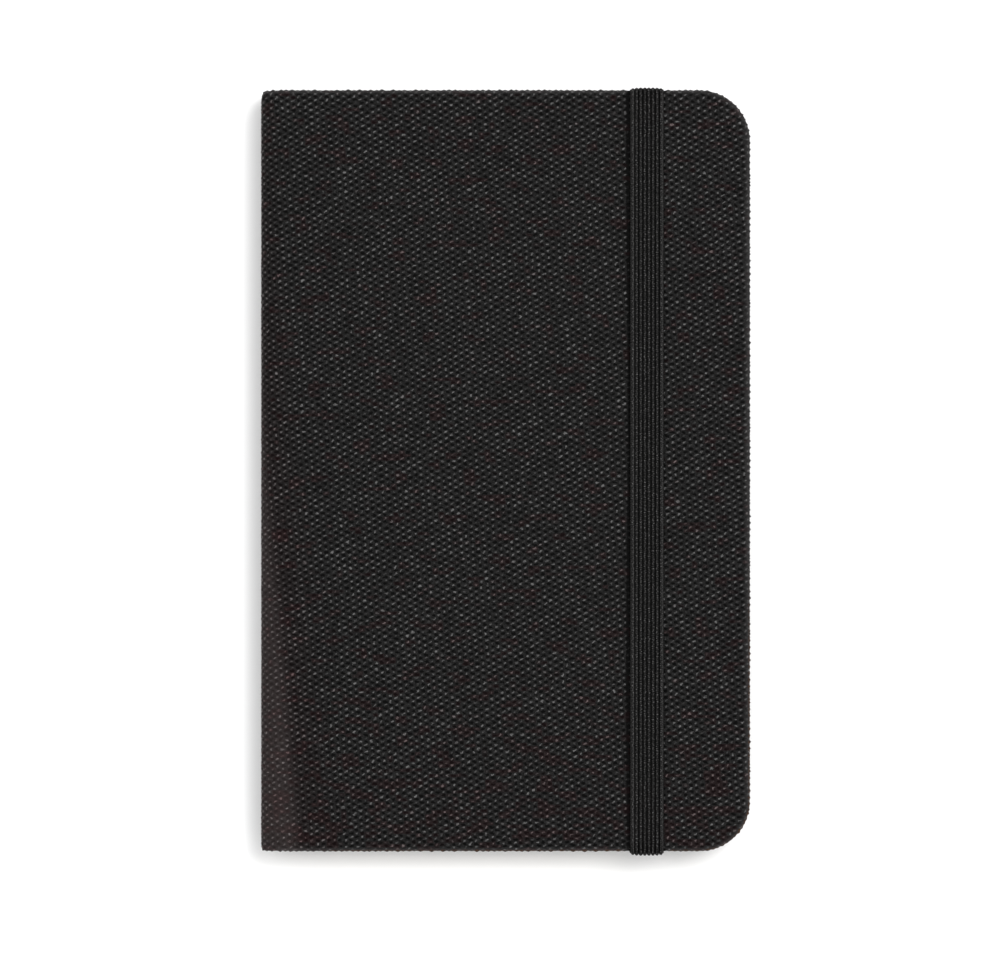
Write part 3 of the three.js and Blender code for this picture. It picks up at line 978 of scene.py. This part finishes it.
@dataclass
class CaseCloth:
    """The case's cloth, woven as one and cut where the case bends."""

    wrap: CaseWrap = field(default_factory=CaseWrap)
    finish: CanvasFinish = field(default_factory=CanvasFinish)
    spine_arc: float = 42.0
    height_flat: float = 152.0
    back_bend: Bend = ((-0.0420, 0, 0.0024), (-0.0450, 0, 0.0053))
    spine_front_bend: Bend = ((-0.0450, 0, 0.0124), (-0.0441, 0, 0.01485))
    front_bend: Bend = ((-0.04312, 0, 0.016), (-0.0411, 0, 0.016))
    cover_cut: tuple[float, float] = (0.0952, 0.1519)
    spine_cut: tuple[float, float] = (0.0101, 0.147)
    spine_cut_area: float = 0.00099
    pieces: dict[Part, Piece] = field(default_factory=dict)

    def limits(self, part: Part) -> tuple[float, float]:
        """Flat X where a part starts and ends."""
        middle = self.wrap.spine_middle
        half = self.wrap.spine_half + self.wrap.shoulder * math.radians(self.spine_arc)
        cover = self.wrap.to_joint + LEVELS.fore_x - LEVELS.joint_x + 7.0
        return {
            Part.BACK: (middle - cover, middle - half),
            Part.SPINE_BACK: (middle - half, middle),
            Part.SPINE_FRONT: (middle, middle + half),
            Part.FRONT: (middle + half, middle + cover),
        }[part]

    def weave_part(self, part: Part) -> Piece:
        """Weaves one part, two quads to a thread, and lays it on the case.

        Args:
            part: Which part.

        Returns:
            The finished piece.
        """
        low, high = self.limits(part)
        tall = self.height_flat / 2 + 1.0
        corners = [self.wrap.threads_at(np.array(x), np.array(y))
                   for x in (low - 1, high + 1) for y in (-tall, tall)]
        p_low, p_high = (math.floor(2 * f(c[0] for c in corners)) for f in (min, max))
        q_low, q_high = (math.floor(2 * f(c[1] for c in corners)) for f in (min, max))
        piece, column, row = lattice(part.value, p_high + 1 - p_low, q_high + 1 - q_low)
        p, q = (column + p_low) / 2, (row + q_low) / 2
        x, y = self.wrap.flat_at(p, q)
        set_map(piece, self.finish.thread_map, p, q)
        move_to(piece, np.stack([x, y, np.zeros_like(x)], 1))
        outside = np.maximum(np.maximum(low - 0.8 - x, x - high - 0.8), self.wrap.beyond(x, y))
        delete_faces(piece, lambda value: value >= 0, outside)
        if part is not Part.BACK:
            bisect(piece, low, keep_above=True)
        if part is not Part.FRONT:
            bisect(piece, high, keep_above=False)
        flat = coordinates(piece)
        p, q = read_map(piece, self.finish.thread_map)
        lift = self.wrap.weave * np.cos(math.pi * p) * np.cos(math.pi * q) * self.wrap.fullness(p, q)
        rim = self.wrap.rim(flat[:, 0], flat[:, 1])
        set_share(piece, self.finish.rim_share, rim)
        lift = lift * (1 + self.wrap.rim_lift * rim) - self.wrap.pressed(flat[:, 0])
        move_to(piece, self.wrap.lay_raised(flat[:, 0], flat[:, 1], lift))
        smooth(piece)
        self.pieces[part] = piece
        return piece

    def build(self) -> None:
        """Weaves all four parts."""
        for part in Part:
            self.weave_part(part)

    def dress(self) -> None:
        """Dresses the parts and hides the imported cloth."""
        material = self.finish.make()
        for piece in self.pieces.values():
            dress(piece, material)
        back, front = self.pieces[Part.BACK], self.pieces[Part.FRONT]
        spine_back, spine_front = self.pieces[Part.SPINE_BACK], self.pieces[Part.SPINE_FRONT]
        for piece in (back, spine_back):
            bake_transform(piece)
        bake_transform(spine_front)
        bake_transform(front)
        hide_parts("back_cover_cloth")
        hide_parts("spine_cloth")
        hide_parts("front_cover_cloth")


# ---- Elastic band -------------------------------------------------------------------


@dataclass
class ElasticBand:
    """The braided elastic: across the front, round both edges and into the back board."""

    finish: ElasticFinish = field(default_factory=ElasticFinish)
    ribs: int = 8
    rib_pitch: float = 0.752
    selvage: float = 0.08
    ribs_aside: float = 0.025
    rib_height: float = 0.15
    pick: float = 0.397
    pick_height: float = 0.022
    bend: float = 1.15
    head_pinch: float = 0.5
    edge_cup: float = 0.30
    slot_y: float = 57.8
    end_level: float = 3.1
    slot_bend: float = 0.5
    head_shift_divisor: float = 32.0
    edge_start: float = 67.5
    edge_fade: float = 2.0
    outer_face: float = 0.2
    side_share: float = 0.45
    inner_share: float = 0.9
    selvage_ribs: float = 0.15
    stretch: Bend = ((0.026, 0, 0.0010), (0.026, 0, 0.0165))
    piece: Piece | None = None

    def path(self) -> tuple[Points, Points]:
        """The band's middle line in Y and Z, evenly spaced at half a pick.

        Returns:
            The points, and the outward direction at each.
        """
        low = sum(span("elastic_back_run_head", 2)) / 2
        high = sum(span("elastic_front_run", 2)) / 2
        head = span("elastic_side_head", 1)[0] + self.head_pinch * (high - low) / self.head_shift_divisor
        tail = sum(span("elastic_side_tail", 1)) / 2
        r, small, slot, end = self.bend, self.slot_bend, self.slot_y, self.end_level
        corners = [
            (slot, end, 0.0), (slot, low, small), (head, low, r), (head, high, r),
            (tail, high, r), (tail, low, r), (-slot, low, small), (-slot, end, 0.0),
        ]
        line = [np.array(corners[0][:2])]
        for before, here, after in zip(corners, corners[1:], corners[2:]):
            line.extend(self._rounded(before, here, after))
        line.append(np.array(corners[-1][:2]))
        line = np.array(line)
        lengths = np.concatenate([[0], np.cumsum(np.linalg.norm(np.diff(line, axis=0), axis=1))])
        count = int(round(lengths[-1] / (self.pick / 2)))
        even = np.linspace(0, lengths[-1], count + 1)
        points = np.stack([np.interp(even, lengths, line[:, k]) for k in range(2)], 1)
        ahead = np.gradient(points, axis=0)
        ahead /= np.linalg.norm(ahead, axis=1, keepdims=True)
        outward = np.stack([ahead[:, 1], -ahead[:, 0]], 1)
        return points, outward

    @staticmethod
    def _rounded(before: tuple, here: tuple, after: tuple, steps: int = 14) -> list[Points]:
        """A corner of the path as an arc."""
        corner = np.array(here[:2])
        to_before = np.array(before[:2]) - corner
        to_after = np.array(after[:2]) - corner
        to_before /= np.linalg.norm(to_before)
        to_after /= np.linalg.norm(to_after)
        centre = corner + (to_before + to_after) * here[2]
        angles = np.linspace(0, math.pi / 2, steps)
        return [centre - to_after * here[2] * math.cos(a) - to_before * here[2] * math.sin(a) for a in angles]

    def profile(self) -> tuple[Points, Points, Points]:
        """The band's section: across, out from its middle, and counted in ribs."""
        half = self.ribs / 2
        outer = np.linspace(0, self.ribs, self.ribs * 5 + 1)
        inner = np.linspace(self.ribs, 0, self.ribs + 1)
        thick = (span("elastic_front_run", 2)[1] - span("elastic_front_run", 2)[0]) / 2
        rise = thick - self.rib_height * (1 - np.abs(np.sin(math.pi * outer)) ** 0.6)
        edge = np.array([-1.0, 1.0]) * (half * self.rib_pitch + self.selvage)
        across = np.concatenate([
            (outer - half) * self.rib_pitch, [edge[1], edge[1]],
            (inner - half) * self.rib_pitch, [edge[0], edge[0]],
        ])
        side, beyond = thick * self.side_share, self.selvage_ribs
        underside = np.full(len(inner), -thick * self.inner_share)
        out = np.concatenate([rise, [side, -side], underside, [-side, side]])
        rib = np.concatenate([outer, [self.ribs + beyond] * 2, inner, [-beyond] * 2])
        return across, out, rib

    def build(self) -> None:
        """Braids the band along its path."""
        points, outward = self.path()
        across, out, rib = self.profile()
        around = len(across)
        piece, column, row = lattice("elastic_closure_band", around, len(points) - 1)
        k, s = column.astype(int) % around, row.astype(int)
        phase = np.where(np.floor(rib[k]) % 2 == 1, 0.5, 0.0) + s / 2
        lift = self.pick_height * np.cos(2 * math.pi * phase) * (out[k] > self.outer_face)
        centre_x = sum(span("elastic_front_run", 0)) / 2 + self.ribs_aside
        pinched = ease((points[s, 0] - self.edge_start) / self.edge_fade)
        at_edge = ease((np.abs(points[s, 0]) - self.edge_start) / self.edge_fade)
        outer = (out[k] - out.min()) / (out.max() - out.min())
        cupped = self.edge_cup * np.abs(across[k] / across.max()) ** 5 * outer
        groove = self.rib_height * (1 - np.abs(np.sin(math.pi * rib[k])))
        cupped = at_edge * (cupped + groove * (out[k] > self.outer_face))
        height = (out[k] + lift) * (1 - (1 - self.head_pinch) * pinched) - cupped
        places = np.stack([
            centre_x + across[k],
            points[s, 0] + outward[s, 0] * height,
            points[s, 1] + outward[s, 1] * height,
        ], 1)
        set_map(piece, self.finish.braid_map, rib[k], s / 2.0)
        move_to(piece, places)
        weld(piece)
        smooth(piece, 60)
        self.piece = piece

    def dress(self) -> None:
        """Dresses the band and hides the imported elastic."""
        dress(self.piece, self.finish.make())
        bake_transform(self.piece)
        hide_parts("elastic_front_run", "elastic_side_head", "elastic_side_tail",
                    "elastic_back_run_head", "elastic_back_run_tail",
                    "elastic_anchor_head", "elastic_anchor_tail")


# ---- Text block ---------------------------------------------------------------------


@dataclass
class Leaf:
    """The outline of a page: straight at the fold and round at the fore-edge corners."""

    fold_x: float
    fore_x: float
    head_y: float
    corner: float = 7.0

    def stations(self) -> Points:
        """Places along X, close together where the leaf bends and at its corners."""
        near_fold = self.fold_x + np.array([0.0, 1.2, 2.4, 3.7, 5.0, 6.5, 8.0, 10.0, 12.5])
        flat = np.linspace(self.fold_x + 22, self.fore_x - self.corner, 4)
        turn = np.sin(np.linspace(0, math.pi / 2, 8)[1:]) * self.corner + self.fore_x - self.corner
        return np.concatenate([near_fold, flat, turn])

    def half_height(self, x: Points) -> Points:
        """Half the leaf's height at each place along X."""
        past = np.clip(x - (self.fore_x - self.corner), 0, self.corner)
        return self.head_y - self.corner + np.sqrt(np.maximum(self.corner**2 - past**2, 0))


@dataclass
class TextBlock:
    """Twelve sewn signatures and the two flyleaves."""

    paper: PaperFinish = PaperFinish("page_paper", (0.64, 0.585, 0.465, 1.0), 0.04)
    endpaper: PaperFinish = PaperFinish("endpaper", (0.61, 0.555, 0.44, 1.0), 0.05)
    signatures: int = 12
    sheets: int = 4
    sheet_thickness: float = 0.078
    rows: int = 8
    bend_end: float = -31.0
    pieces: list[Piece] = field(default_factory=list)
    flyleaves: dict[str, Piece] = field(default_factory=dict)
    pastedowns: list["Pastedown"] = field(default_factory=list)

    def _fold_sheet(self, name: str, leaf: Leaf, low: float, high: float, draw: np.random.Generator) -> Piece:
        """One sheet folded at the spine into two leaves.

        Args:
            name: The piece's name.
            leaf: The outline of each leaf.
            low: The lower leaf's level.
            high: The upper leaf's level.
            draw: Gives the small differences between sheets.

        Returns:
            The sheet without thickness.
        """
        x = leaf.stations()
        angles = np.linspace(-math.pi / 2, math.pi / 2, 6)[1:-1]
        half = (high - low) / 2
        trim = draw.uniform(-0.07, 0.05, 2)
        lower_x = x[::-1] + trim[0] * ease((x[::-1] - leaf.fold_x) / 60)
        upper_x = x + trim[1] * ease((x - leaf.fold_x) / 60)
        fold_x = leaf.fold_x + half - half * np.cos(angles)
        along_x = np.concatenate([
            lower_x + half * (x[::-1] <= leaf.fold_x), fold_x, upper_x + half * (x <= leaf.fold_x),
        ])
        along_z = np.concatenate([
            np.full(len(x), low), low + half + half * np.sin(angles), np.full(len(x), high),
        ])
        shape_x = np.concatenate([x[::-1], np.full(len(angles), leaf.fold_x), x])
        piece, column, row = lattice(name, len(along_x) - 1, self.rows)
        k = column.astype(int)
        t = row / self.rows * 2 - 1
        wave = 0.012 * np.sin(t * 2.2 + draw.uniform(0, 6)) * ease((shape_x[k] + 20) / 60)
        y = t * leaf.half_height(shape_x[k])
        move_to(piece, np.stack([along_x[k], y, along_z[k] + wave], 1))
        return piece

    def _signature(self, number: int, draw: np.random.Generator) -> Piece:
        """One signature: its sheets folded inside one another."""
        node = f"signature_{number:02d}"
        low, high = span(node, 2)
        fold, fore = span(node, 0)
        _, head = span(node, 1)
        leaves = 2 * self.sheets
        pitch = (high - low) / leaves
        sheets = []
        for n in range(self.sheets):
            leaf = Leaf(fold + 0.05 + n * pitch, fore, head)
            below = low + (n + 0.5) * pitch
            above = high - (n + 0.5) * pitch
            sheets.append(self._fold_sheet(f"{node}_{n}", leaf, below, above, draw))
        clear_selection()
        for sheet in sheets:
            sheet.select_set(True)
        bpy.context.view_layer.objects.active = sheets[0]
        bpy.ops.object.join()
        piece = sheets[0]
        piece.name = f"{node}_sheets"
        thicken(piece, self.sheet_thickness)
        smooth(piece, 40)
        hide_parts(node)
        return piece

    def _flyleaf(self, node: str) -> Piece:
        """A flyleaf: one leaf, tipped to the first or the last signature."""
        low, high = span(node, 2)
        leaf = Leaf(span(node, 0)[0], span(node, 0)[1], span(node, 1)[1])
        x = leaf.stations()
        piece, column, row = lattice(f"{node}_sheet", len(x) - 1, self.rows)
        k = column.astype(int)
        y = (row / self.rows * 2 - 1) * leaf.half_height(x[k])
        move_to(piece, np.stack([x[k], y, np.full(len(k), (low + high) / 2)], 1))
        thicken(piece, (high - low) * 0.8)
        smooth(piece, 40)
        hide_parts(node)
        return piece

    def build(self) -> None:
        """Folds and gathers the signatures, and makes the flyleaves."""
        draw = np.random.default_rng(11)
        for number in range(1, self.signatures + 1):
            self.pieces.append(self._signature(number, draw))
        for node in ("front_flyleaf", "back_flyleaf"):
            self.flyleaves[node] = self._flyleaf(node)
        self.pastedowns = [
            Pastedown("front_pastedown", 1.0, ("front_pages", "front_cover"), ("spine", "front_pages")),
            Pastedown("back_pastedown", -1.0, ("spine", "back_cover")),
        ]
        for pastedown in self.pastedowns:
            pastedown.build()

    def dress(self) -> None:
        """Dresses the pages, the flyleaves and the pastedowns."""
        paper, endpaper = self.paper.make(), self.endpaper.make()
        for number, piece in enumerate(self.pieces, 1):
            dress(piece, paper)
            side = "front_pages" if number <= self.signatures // 2 else "back_cover"
            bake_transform(piece)
        for node, side in (("front_flyleaf", "front_pages"), ("back_flyleaf", "back_cover")):
            piece = self.flyleaves[node]
            dress(piece, endpaper)
            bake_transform(piece)
        for pastedown in self.pastedowns:
            pastedown.dress(endpaper)


# ---- Endpapers ----------------------------------------------------------------------


@dataclass
class Pastedown:
    """One endpaper's half that is pasted inside a cover, over the cloth's turn-ins."""

    node: str
    towards_board: float
    hinge: tuple[str, str]
    fold: tuple[str, str] | None = None
    fold_width: float = 0.6
    bend: float = 1.9
    thickness: float = 0.11
    window: float = 11.0
    ramp: float = 2.0
    sink: float = 0.33
    corner: float = 7.4
    sheet: Piece | None = None
    strip: Piece | None = None

    @property
    def fold_x(self) -> float:
        """Where the endpaper is folded."""
        return span("front_flyleaf", 0)[0]

    @property
    def hinge_x(self) -> float:
        """Where the sheet starts to bend with its cover."""
        return self.fold_x + (self.fold_width if self.fold else 0.0)

    def _leaf(self, name: str, x_at: Points) -> Piece:
        """Lays a stretch of the sheet.

        Args:
            name: The piece's name.
            x_at: The places along X where the stretch has its rows of points.

        Returns:
            The stretch, with its thickness.
        """
        fore_x, head_y = span(self.node, 0)[1], span(self.node, 1)[1]
        window_x, window_y = LEVELS.fore_x - self.window, LEVELS.head_y - self.window
        near = np.linspace(-self.ramp / 2, self.ramp / 2, 7)
        inner, outer = np.array([0.0, 20, 38, 50, 55]), np.array([62.0, 65.0, head_y])
        half = np.concatenate([inner, window_y + near, outer])
        y_at = np.concatenate([-half[:0:-1], half]) / head_y
        piece, column, row = lattice(name, len(x_at) - 1, len(y_at) - 1)
        x = x_at[column.astype(int)]
        leaf = Leaf(self.fold_x, fore_x, head_y, self.corner)
        y = y_at[row.astype(int)] * leaf.half_height(x)
        inside = ease(0.5 + (window_x - x) / self.ramp) * ease(0.5 + (window_y - np.abs(y)) / self.ramp)
        level = sum(span(self.node, 2)) / 2
        cockle = 0.012 * np.sin(x * 0.21 + 1.0) * np.sin(y * 0.17)
        z = level + self.towards_board * (self.sink * inside + cockle * inside)
        move_to(piece, np.stack([x, y, z], 1))
        thicken(piece, self.thickness)
        smooth(piece, 40)
        return piece

    def build(self) -> None:
        """Lays the sheet from the hinge to the fore-edge, and the strip at its fold."""
        fore_x, window_x = span(self.node, 0)[1], LEVELS.fore_x - self.window
        near = np.linspace(-self.ramp / 2, self.ramp / 2, 7) + window_x
        turn = np.sin(np.linspace(0, math.pi / 2, 9)[1:]) * self.corner + fore_x - self.corner
        bent = np.linspace(self.hinge_x, self.hinge_x + self.bend, 13)
        flat = np.linspace(bent[-1] + 1.5, 28, 9)
        x_at = np.concatenate([bent, flat, near[near < turn[0] - 0.2], turn])
        self.sheet = self._leaf(f"{self.node}_sheet", x_at)
        if self.fold:
            self.strip = self._leaf(f"{self.node}_fold", np.linspace(self.fold_x, self.hinge_x, 9))

    def dress(self, paper: bpy.types.Material) -> None:
        """Dresses the sheet and its fold strip, and hides the imported endpaper.

        Args:
            paper: The endpaper's material.
        """
        dress(self.sheet, paper)
        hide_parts(self.node)
        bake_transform(self.sheet)
        if self.fold:
            dress(self.strip, paper)
            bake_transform(self.strip)


# ---- Spine of the text block --------------------------------------------------------


def spun_tube(name: str, line: Points, radius: Points, count: tuple[int, float], thread_map: str) -> Piece:
    """A closed tube along a line that keeps to one X, lobed where it is plied.

    Args:
        name: The piece's name.
        line: The middle line's places in millimetres.
        radius: The radius at each place.
        count: The number of lobes, and how many turns they make in a millimetre.
        thread_map: The name of its UV map.

    Returns:
        The tube, with its map counted round and along.
    """
    around = 12
    piece, column, row = lattice(name, around, len(line) - 1)
    ahead = np.gradient(line, axis=0)
    ahead /= np.linalg.norm(ahead, axis=1, keepdims=True)
    first = np.tile([1.0, 0.0, 0.0], (len(line), 1))
    second = np.cross(ahead, first)
    run = np.concatenate([[0], np.cumsum(np.linalg.norm(np.diff(line, axis=0), axis=1))])
    k, s = column.astype(int), row.astype(int)
    angle = 2 * math.pi * k / around
    lobes, turns = count
    lobe = 1 - 0.16 * (1 - np.abs(np.cos((angle - 2 * math.pi * turns * run[s]) * lobes / 2)))
    r = radius[s] * np.where(lobes > 0, lobe, 1.0)
    places = line[s] + first[s] * (r * np.cos(angle))[:, None] + second[s] * (r * np.sin(angle))[:, None]
    set_map(piece, thread_map, k / around, run[s])
    move_to(piece, places)
    weld(piece)
    smooth(piece, 70)
    return piece


@dataclass
class SpineWork:
    """What holds the signatures at their folds: thread, gauze, lining paper and headbands."""

    stations: int = 7
    stitch_span: float = 108.0
    thread_radius: float = 0.135
    bead: float = 0.55
    gauze_thread: float = 0.13
    stitch_turn: float = 0.3
    stitch_step: float = 0.22
    thread: YarnFinish = YarnFinish("linen_thread", (0.84, 0.80, 0.70, 1.0), (0.80, 0.76, 0.66, 1.0))
    silk: YarnFinish = YarnFinish("headband_silk", (0.02, 0.02, 0.02, 1.0), (0.045, 0.045, 0.045, 1.0))
    lining_paper: PaperFinish = PaperFinish("kraft_paper", (0.42, 0.31, 0.18, 1.0), 0.08)
    gauze_cotton: PaperFinish = PaperFinish("cotton_gauze", (0.74, 0.70, 0.61, 1.0), 0.05, 0.9)
    pieces: dict[str, Piece] = field(default_factory=dict)

    def _sewing(self) -> Piece:
        """The thread that crosses the folds at each station and runs on to the next."""
        x = sum(span("sewing_thread", 0)) / 2
        low, high = (edge + step * self.thread_radius
                     for edge, step in zip(span("sewing_thread", 2), (1, -1)))
        corners = []
        for i in range(self.stations):
            y = self.stitch_span * (i / (self.stations - 1) - 0.5)
            ends = (low, high) if i % 2 == 0 else (high, low)
            corners.extend([(x, y, ends[0]), (x, y, ends[1])])
        line = [np.array(corners[0])]
        for before, here, after in zip(corners, corners[1:], corners[2:]):
            corner, turn = np.array(here), self.stitch_turn
            back = (np.array(before) - corner) / np.linalg.norm(np.array(before) - corner)
            on = (np.array(after) - corner) / np.linalg.norm(np.array(after) - corner)
            bend = np.linspace(0, math.pi / 2, 5)
            line.extend(corner + (back + on) * turn - on * turn * math.cos(a) - back * turn * math.sin(a)
                        for a in bend)
        line.append(np.array(corners[-1]))
        line = self._even(np.array(line), self.stitch_step)
        radius = np.full(len(line), self.thread_radius)
        radius[[0, -1]] = 0
        return spun_tube("sewing_thread_run", line, radius, (3, 0.7), self.thread.twist_map)

    @staticmethod
    def _even(line: Points, step: float) -> Points:
        """The same line with its places a step apart."""
        run = np.concatenate([[0], np.cumsum(np.linalg.norm(np.diff(line, axis=0), axis=1))])
        at = np.linspace(0, run[-1], int(round(run[-1] / step)) + 1)
        return np.stack([np.interp(at, run, line[:, k]) for k in range(3)], 1)

    def _headband(self, node: str) -> Piece:
        """A roll of silk beads over a cord."""
        x, y = sum(span(node, 0)) / 2, sum(span(node, 1)) / 2
        low, high = span(node, 2)
        full = (span(node, 0)[1] - span(node, 0)[0]) / 2
        beads = int((high - low) / self.bead)
        t = np.linspace(0, 1, beads * 8 + 1)
        line = np.stack([np.full_like(t, x), np.full_like(t, y), low + (high - low) * t], 1)
        radius = full * (0.72 + 0.26 * np.abs(np.sin(math.pi * beads * t)) ** 0.7)
        radius[[0, -1]] = 0
        piece = spun_tube(f"{node}_beads", line, radius, (0, 0.0), self.silk.twist_map)
        around, along = read_map(piece, self.silk.twist_map)
        set_map(piece, self.silk.twist_map, around, along * beads / (high - low))
        return piece

    def _gauze(self) -> Piece:
        """Open-weave cotton, thread by thread."""
        (low_x, high_x), (_, high_y), (low_z, high_z) = (span("spine_mull", axis) for axis in range(3))
        cells_z, cells_y = 9, 110
        piece, column, row = lattice("gauze_strip", cells_z, cells_y)
        inset = self.gauze_thread
        z = high_z - inset - (high_z - low_z - 2 * inset) * column / cells_z
        y = (row / cells_y * 2 - 1) * (high_y - inset)
        draw = np.random.default_rng(5).normal(0, 0.045, (2, len(y)))
        edge = (column == 0) | (column == cells_z)
        move_to(piece, np.stack([np.full_like(y, (low_x + high_x) / 2), y + draw[0], z + draw[1] * ~edge], 1))
        take(piece)
        threads = piece.modifiers.new("threads", "WIREFRAME")
        threads.thickness = self.gauze_thread * MM
        threads.use_even_offset = False
        bpy.ops.object.modifier_apply(modifier=threads.name)
        smooth(piece, 60)
        return piece

    def _lining(self) -> Piece:
        """Kraft paper glued over the folds, faintly ridged by them."""
        (low_x, high_x), (_, high_y), (low_z, high_z) = (span("spine_lining", axis) for axis in range(3))
        cells_z, cells_y = 72, 24
        piece, column, row = lattice("lining_strip", cells_z, cells_y)
        z = high_z - (high_z - low_z) * column / cells_z
        y = (row / cells_y * 2 - 1) * high_y
        ridge = 0.012 * np.cos(2 * math.pi * column / cells_z * 12) * np.cos(0.4 * y)
        move_to(piece, np.stack([(low_x + high_x) / 2 + ridge, y, z], 1))
        thicken(piece, (high_x - low_x) * 0.7)
        smooth(piece, 40)
        return piece

    def build(self) -> None:
        """Sews the folds, lines them and sets the headbands."""
        self.pieces = {
            "sewing_thread": self._sewing(),
            "headband": self._headband("headband"),
            "tailband": self._headband("tailband"),
            "spine_mull": self._gauze(),
            "spine_lining": self._lining(),
        }

    def dress(self) -> None:
        """Dresses the pieces and sets them on the spine."""
        silk = self.silk.make()
        finishes = {
            "sewing_thread": (self.thread.make(), "thread"),
            "headband": (silk, "headband_silk"),
            "tailband": (silk, "headband_silk"),
            "spine_mull": (self.gauze_cotton.make(), "gauze"),
            "spine_lining": (self.lining_paper.make(), "lining_paper"),
        }
        for node, (material, slot) in finishes.items():
            dress(self.pieces[node], material)
            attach(self.pieces[node], "spine")
            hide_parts(node)


# ---- Studio -------------------------------------------------------------------------


@dataclass
class Studio:
    """The table, the lights and the camera above it."""

    frame_width: float = 183.95
    camera_height: float = 1500.0
    look_x: float = -1.0
    look_y: float = -1.255

    def build(self) -> None:
        """Sets the table, the lights and the camera."""
        clear_selection()
        bpy.ops.mesh.primitive_plane_add(size=8.0, location=(0, 0, 0))
        floor = bpy.context.object
        floor.name = "table"
        floor.data.materials.append(FloorFinish().make())
        self._light("key", (0.25, 0.21, 1.10), 0.45, 10.5)
        self._light("fill", (-0.6, -0.2, 1.2), 1.2, 7.5)
        world = bpy.data.worlds.new("studio")
        world.use_nodes = True
        background = world.node_tree.nodes["Background"]
        background.inputs["Color"].default_value = (1, 1, 1, 1)
        background.inputs["Strength"].default_value = 0.60
        bpy.context.scene.world = world
        bpy.context.scene.view_settings.view_transform = "Standard"
        self._camera()

    @staticmethod
    def _light(name: str, place: Sequence[float], size: float, power: float) -> None:
        """A square soft box that faces the notebook.

        Args:
            name: The light's name.
            place: Where it hangs, in metres.
            size: Its side in metres.
            power: Its power in watts.
        """
        bpy.ops.object.light_add(type="AREA", location=place)
        light = bpy.context.object
        light.name = name
        light.data.shape = "SQUARE"
        light.data.size = size
        light.data.energy = power
        light.rotation_euler = (-Vector(place)).to_track_quat("-Z", "Y").to_euler()
        light.visible_camera = False

    def _camera(self) -> None:
        """A long lens straight above the notebook."""
        bpy.ops.object.camera_add(location=(self.look_x * MM, self.look_y * MM, self.camera_height * MM))
        camera = bpy.context.object
        camera.name = "camera"
        camera.rotation_euler = (0, 0, 0)
        camera.data.sensor_width = 36.0
        above = self.camera_height - LEVELS.front_face
        camera.data.lens = 36.0 * above / self.frame_width
        camera.data.clip_start = 0.05
        camera.data.clip_end = 20.0
        bpy.context.scene.camera = camera


# ---- Assembly -----------------------------------------------------------------------


def main() -> None:
    """Builds the notebook in order and reports each part."""
    logging.basicConfig(level=logging.INFO, format="%(name)s: %(message)s")
    Studio().build()
    LOG.info("studio set")
    board = BoardFinish().make()
    for node in ("front_cover_board", "back_cover_board", "spine_strip"):
        dress(frame["nodes"][node], board)
    LOG.info("boards dressed")
    for maker in (CaseCloth(), ElasticBand(), TextBlock(), SpineWork()):
        maker.build()
        maker.dress()
        LOG.info("%s finished", type(maker).__name__)


if __name__ == "__main__":
    main()
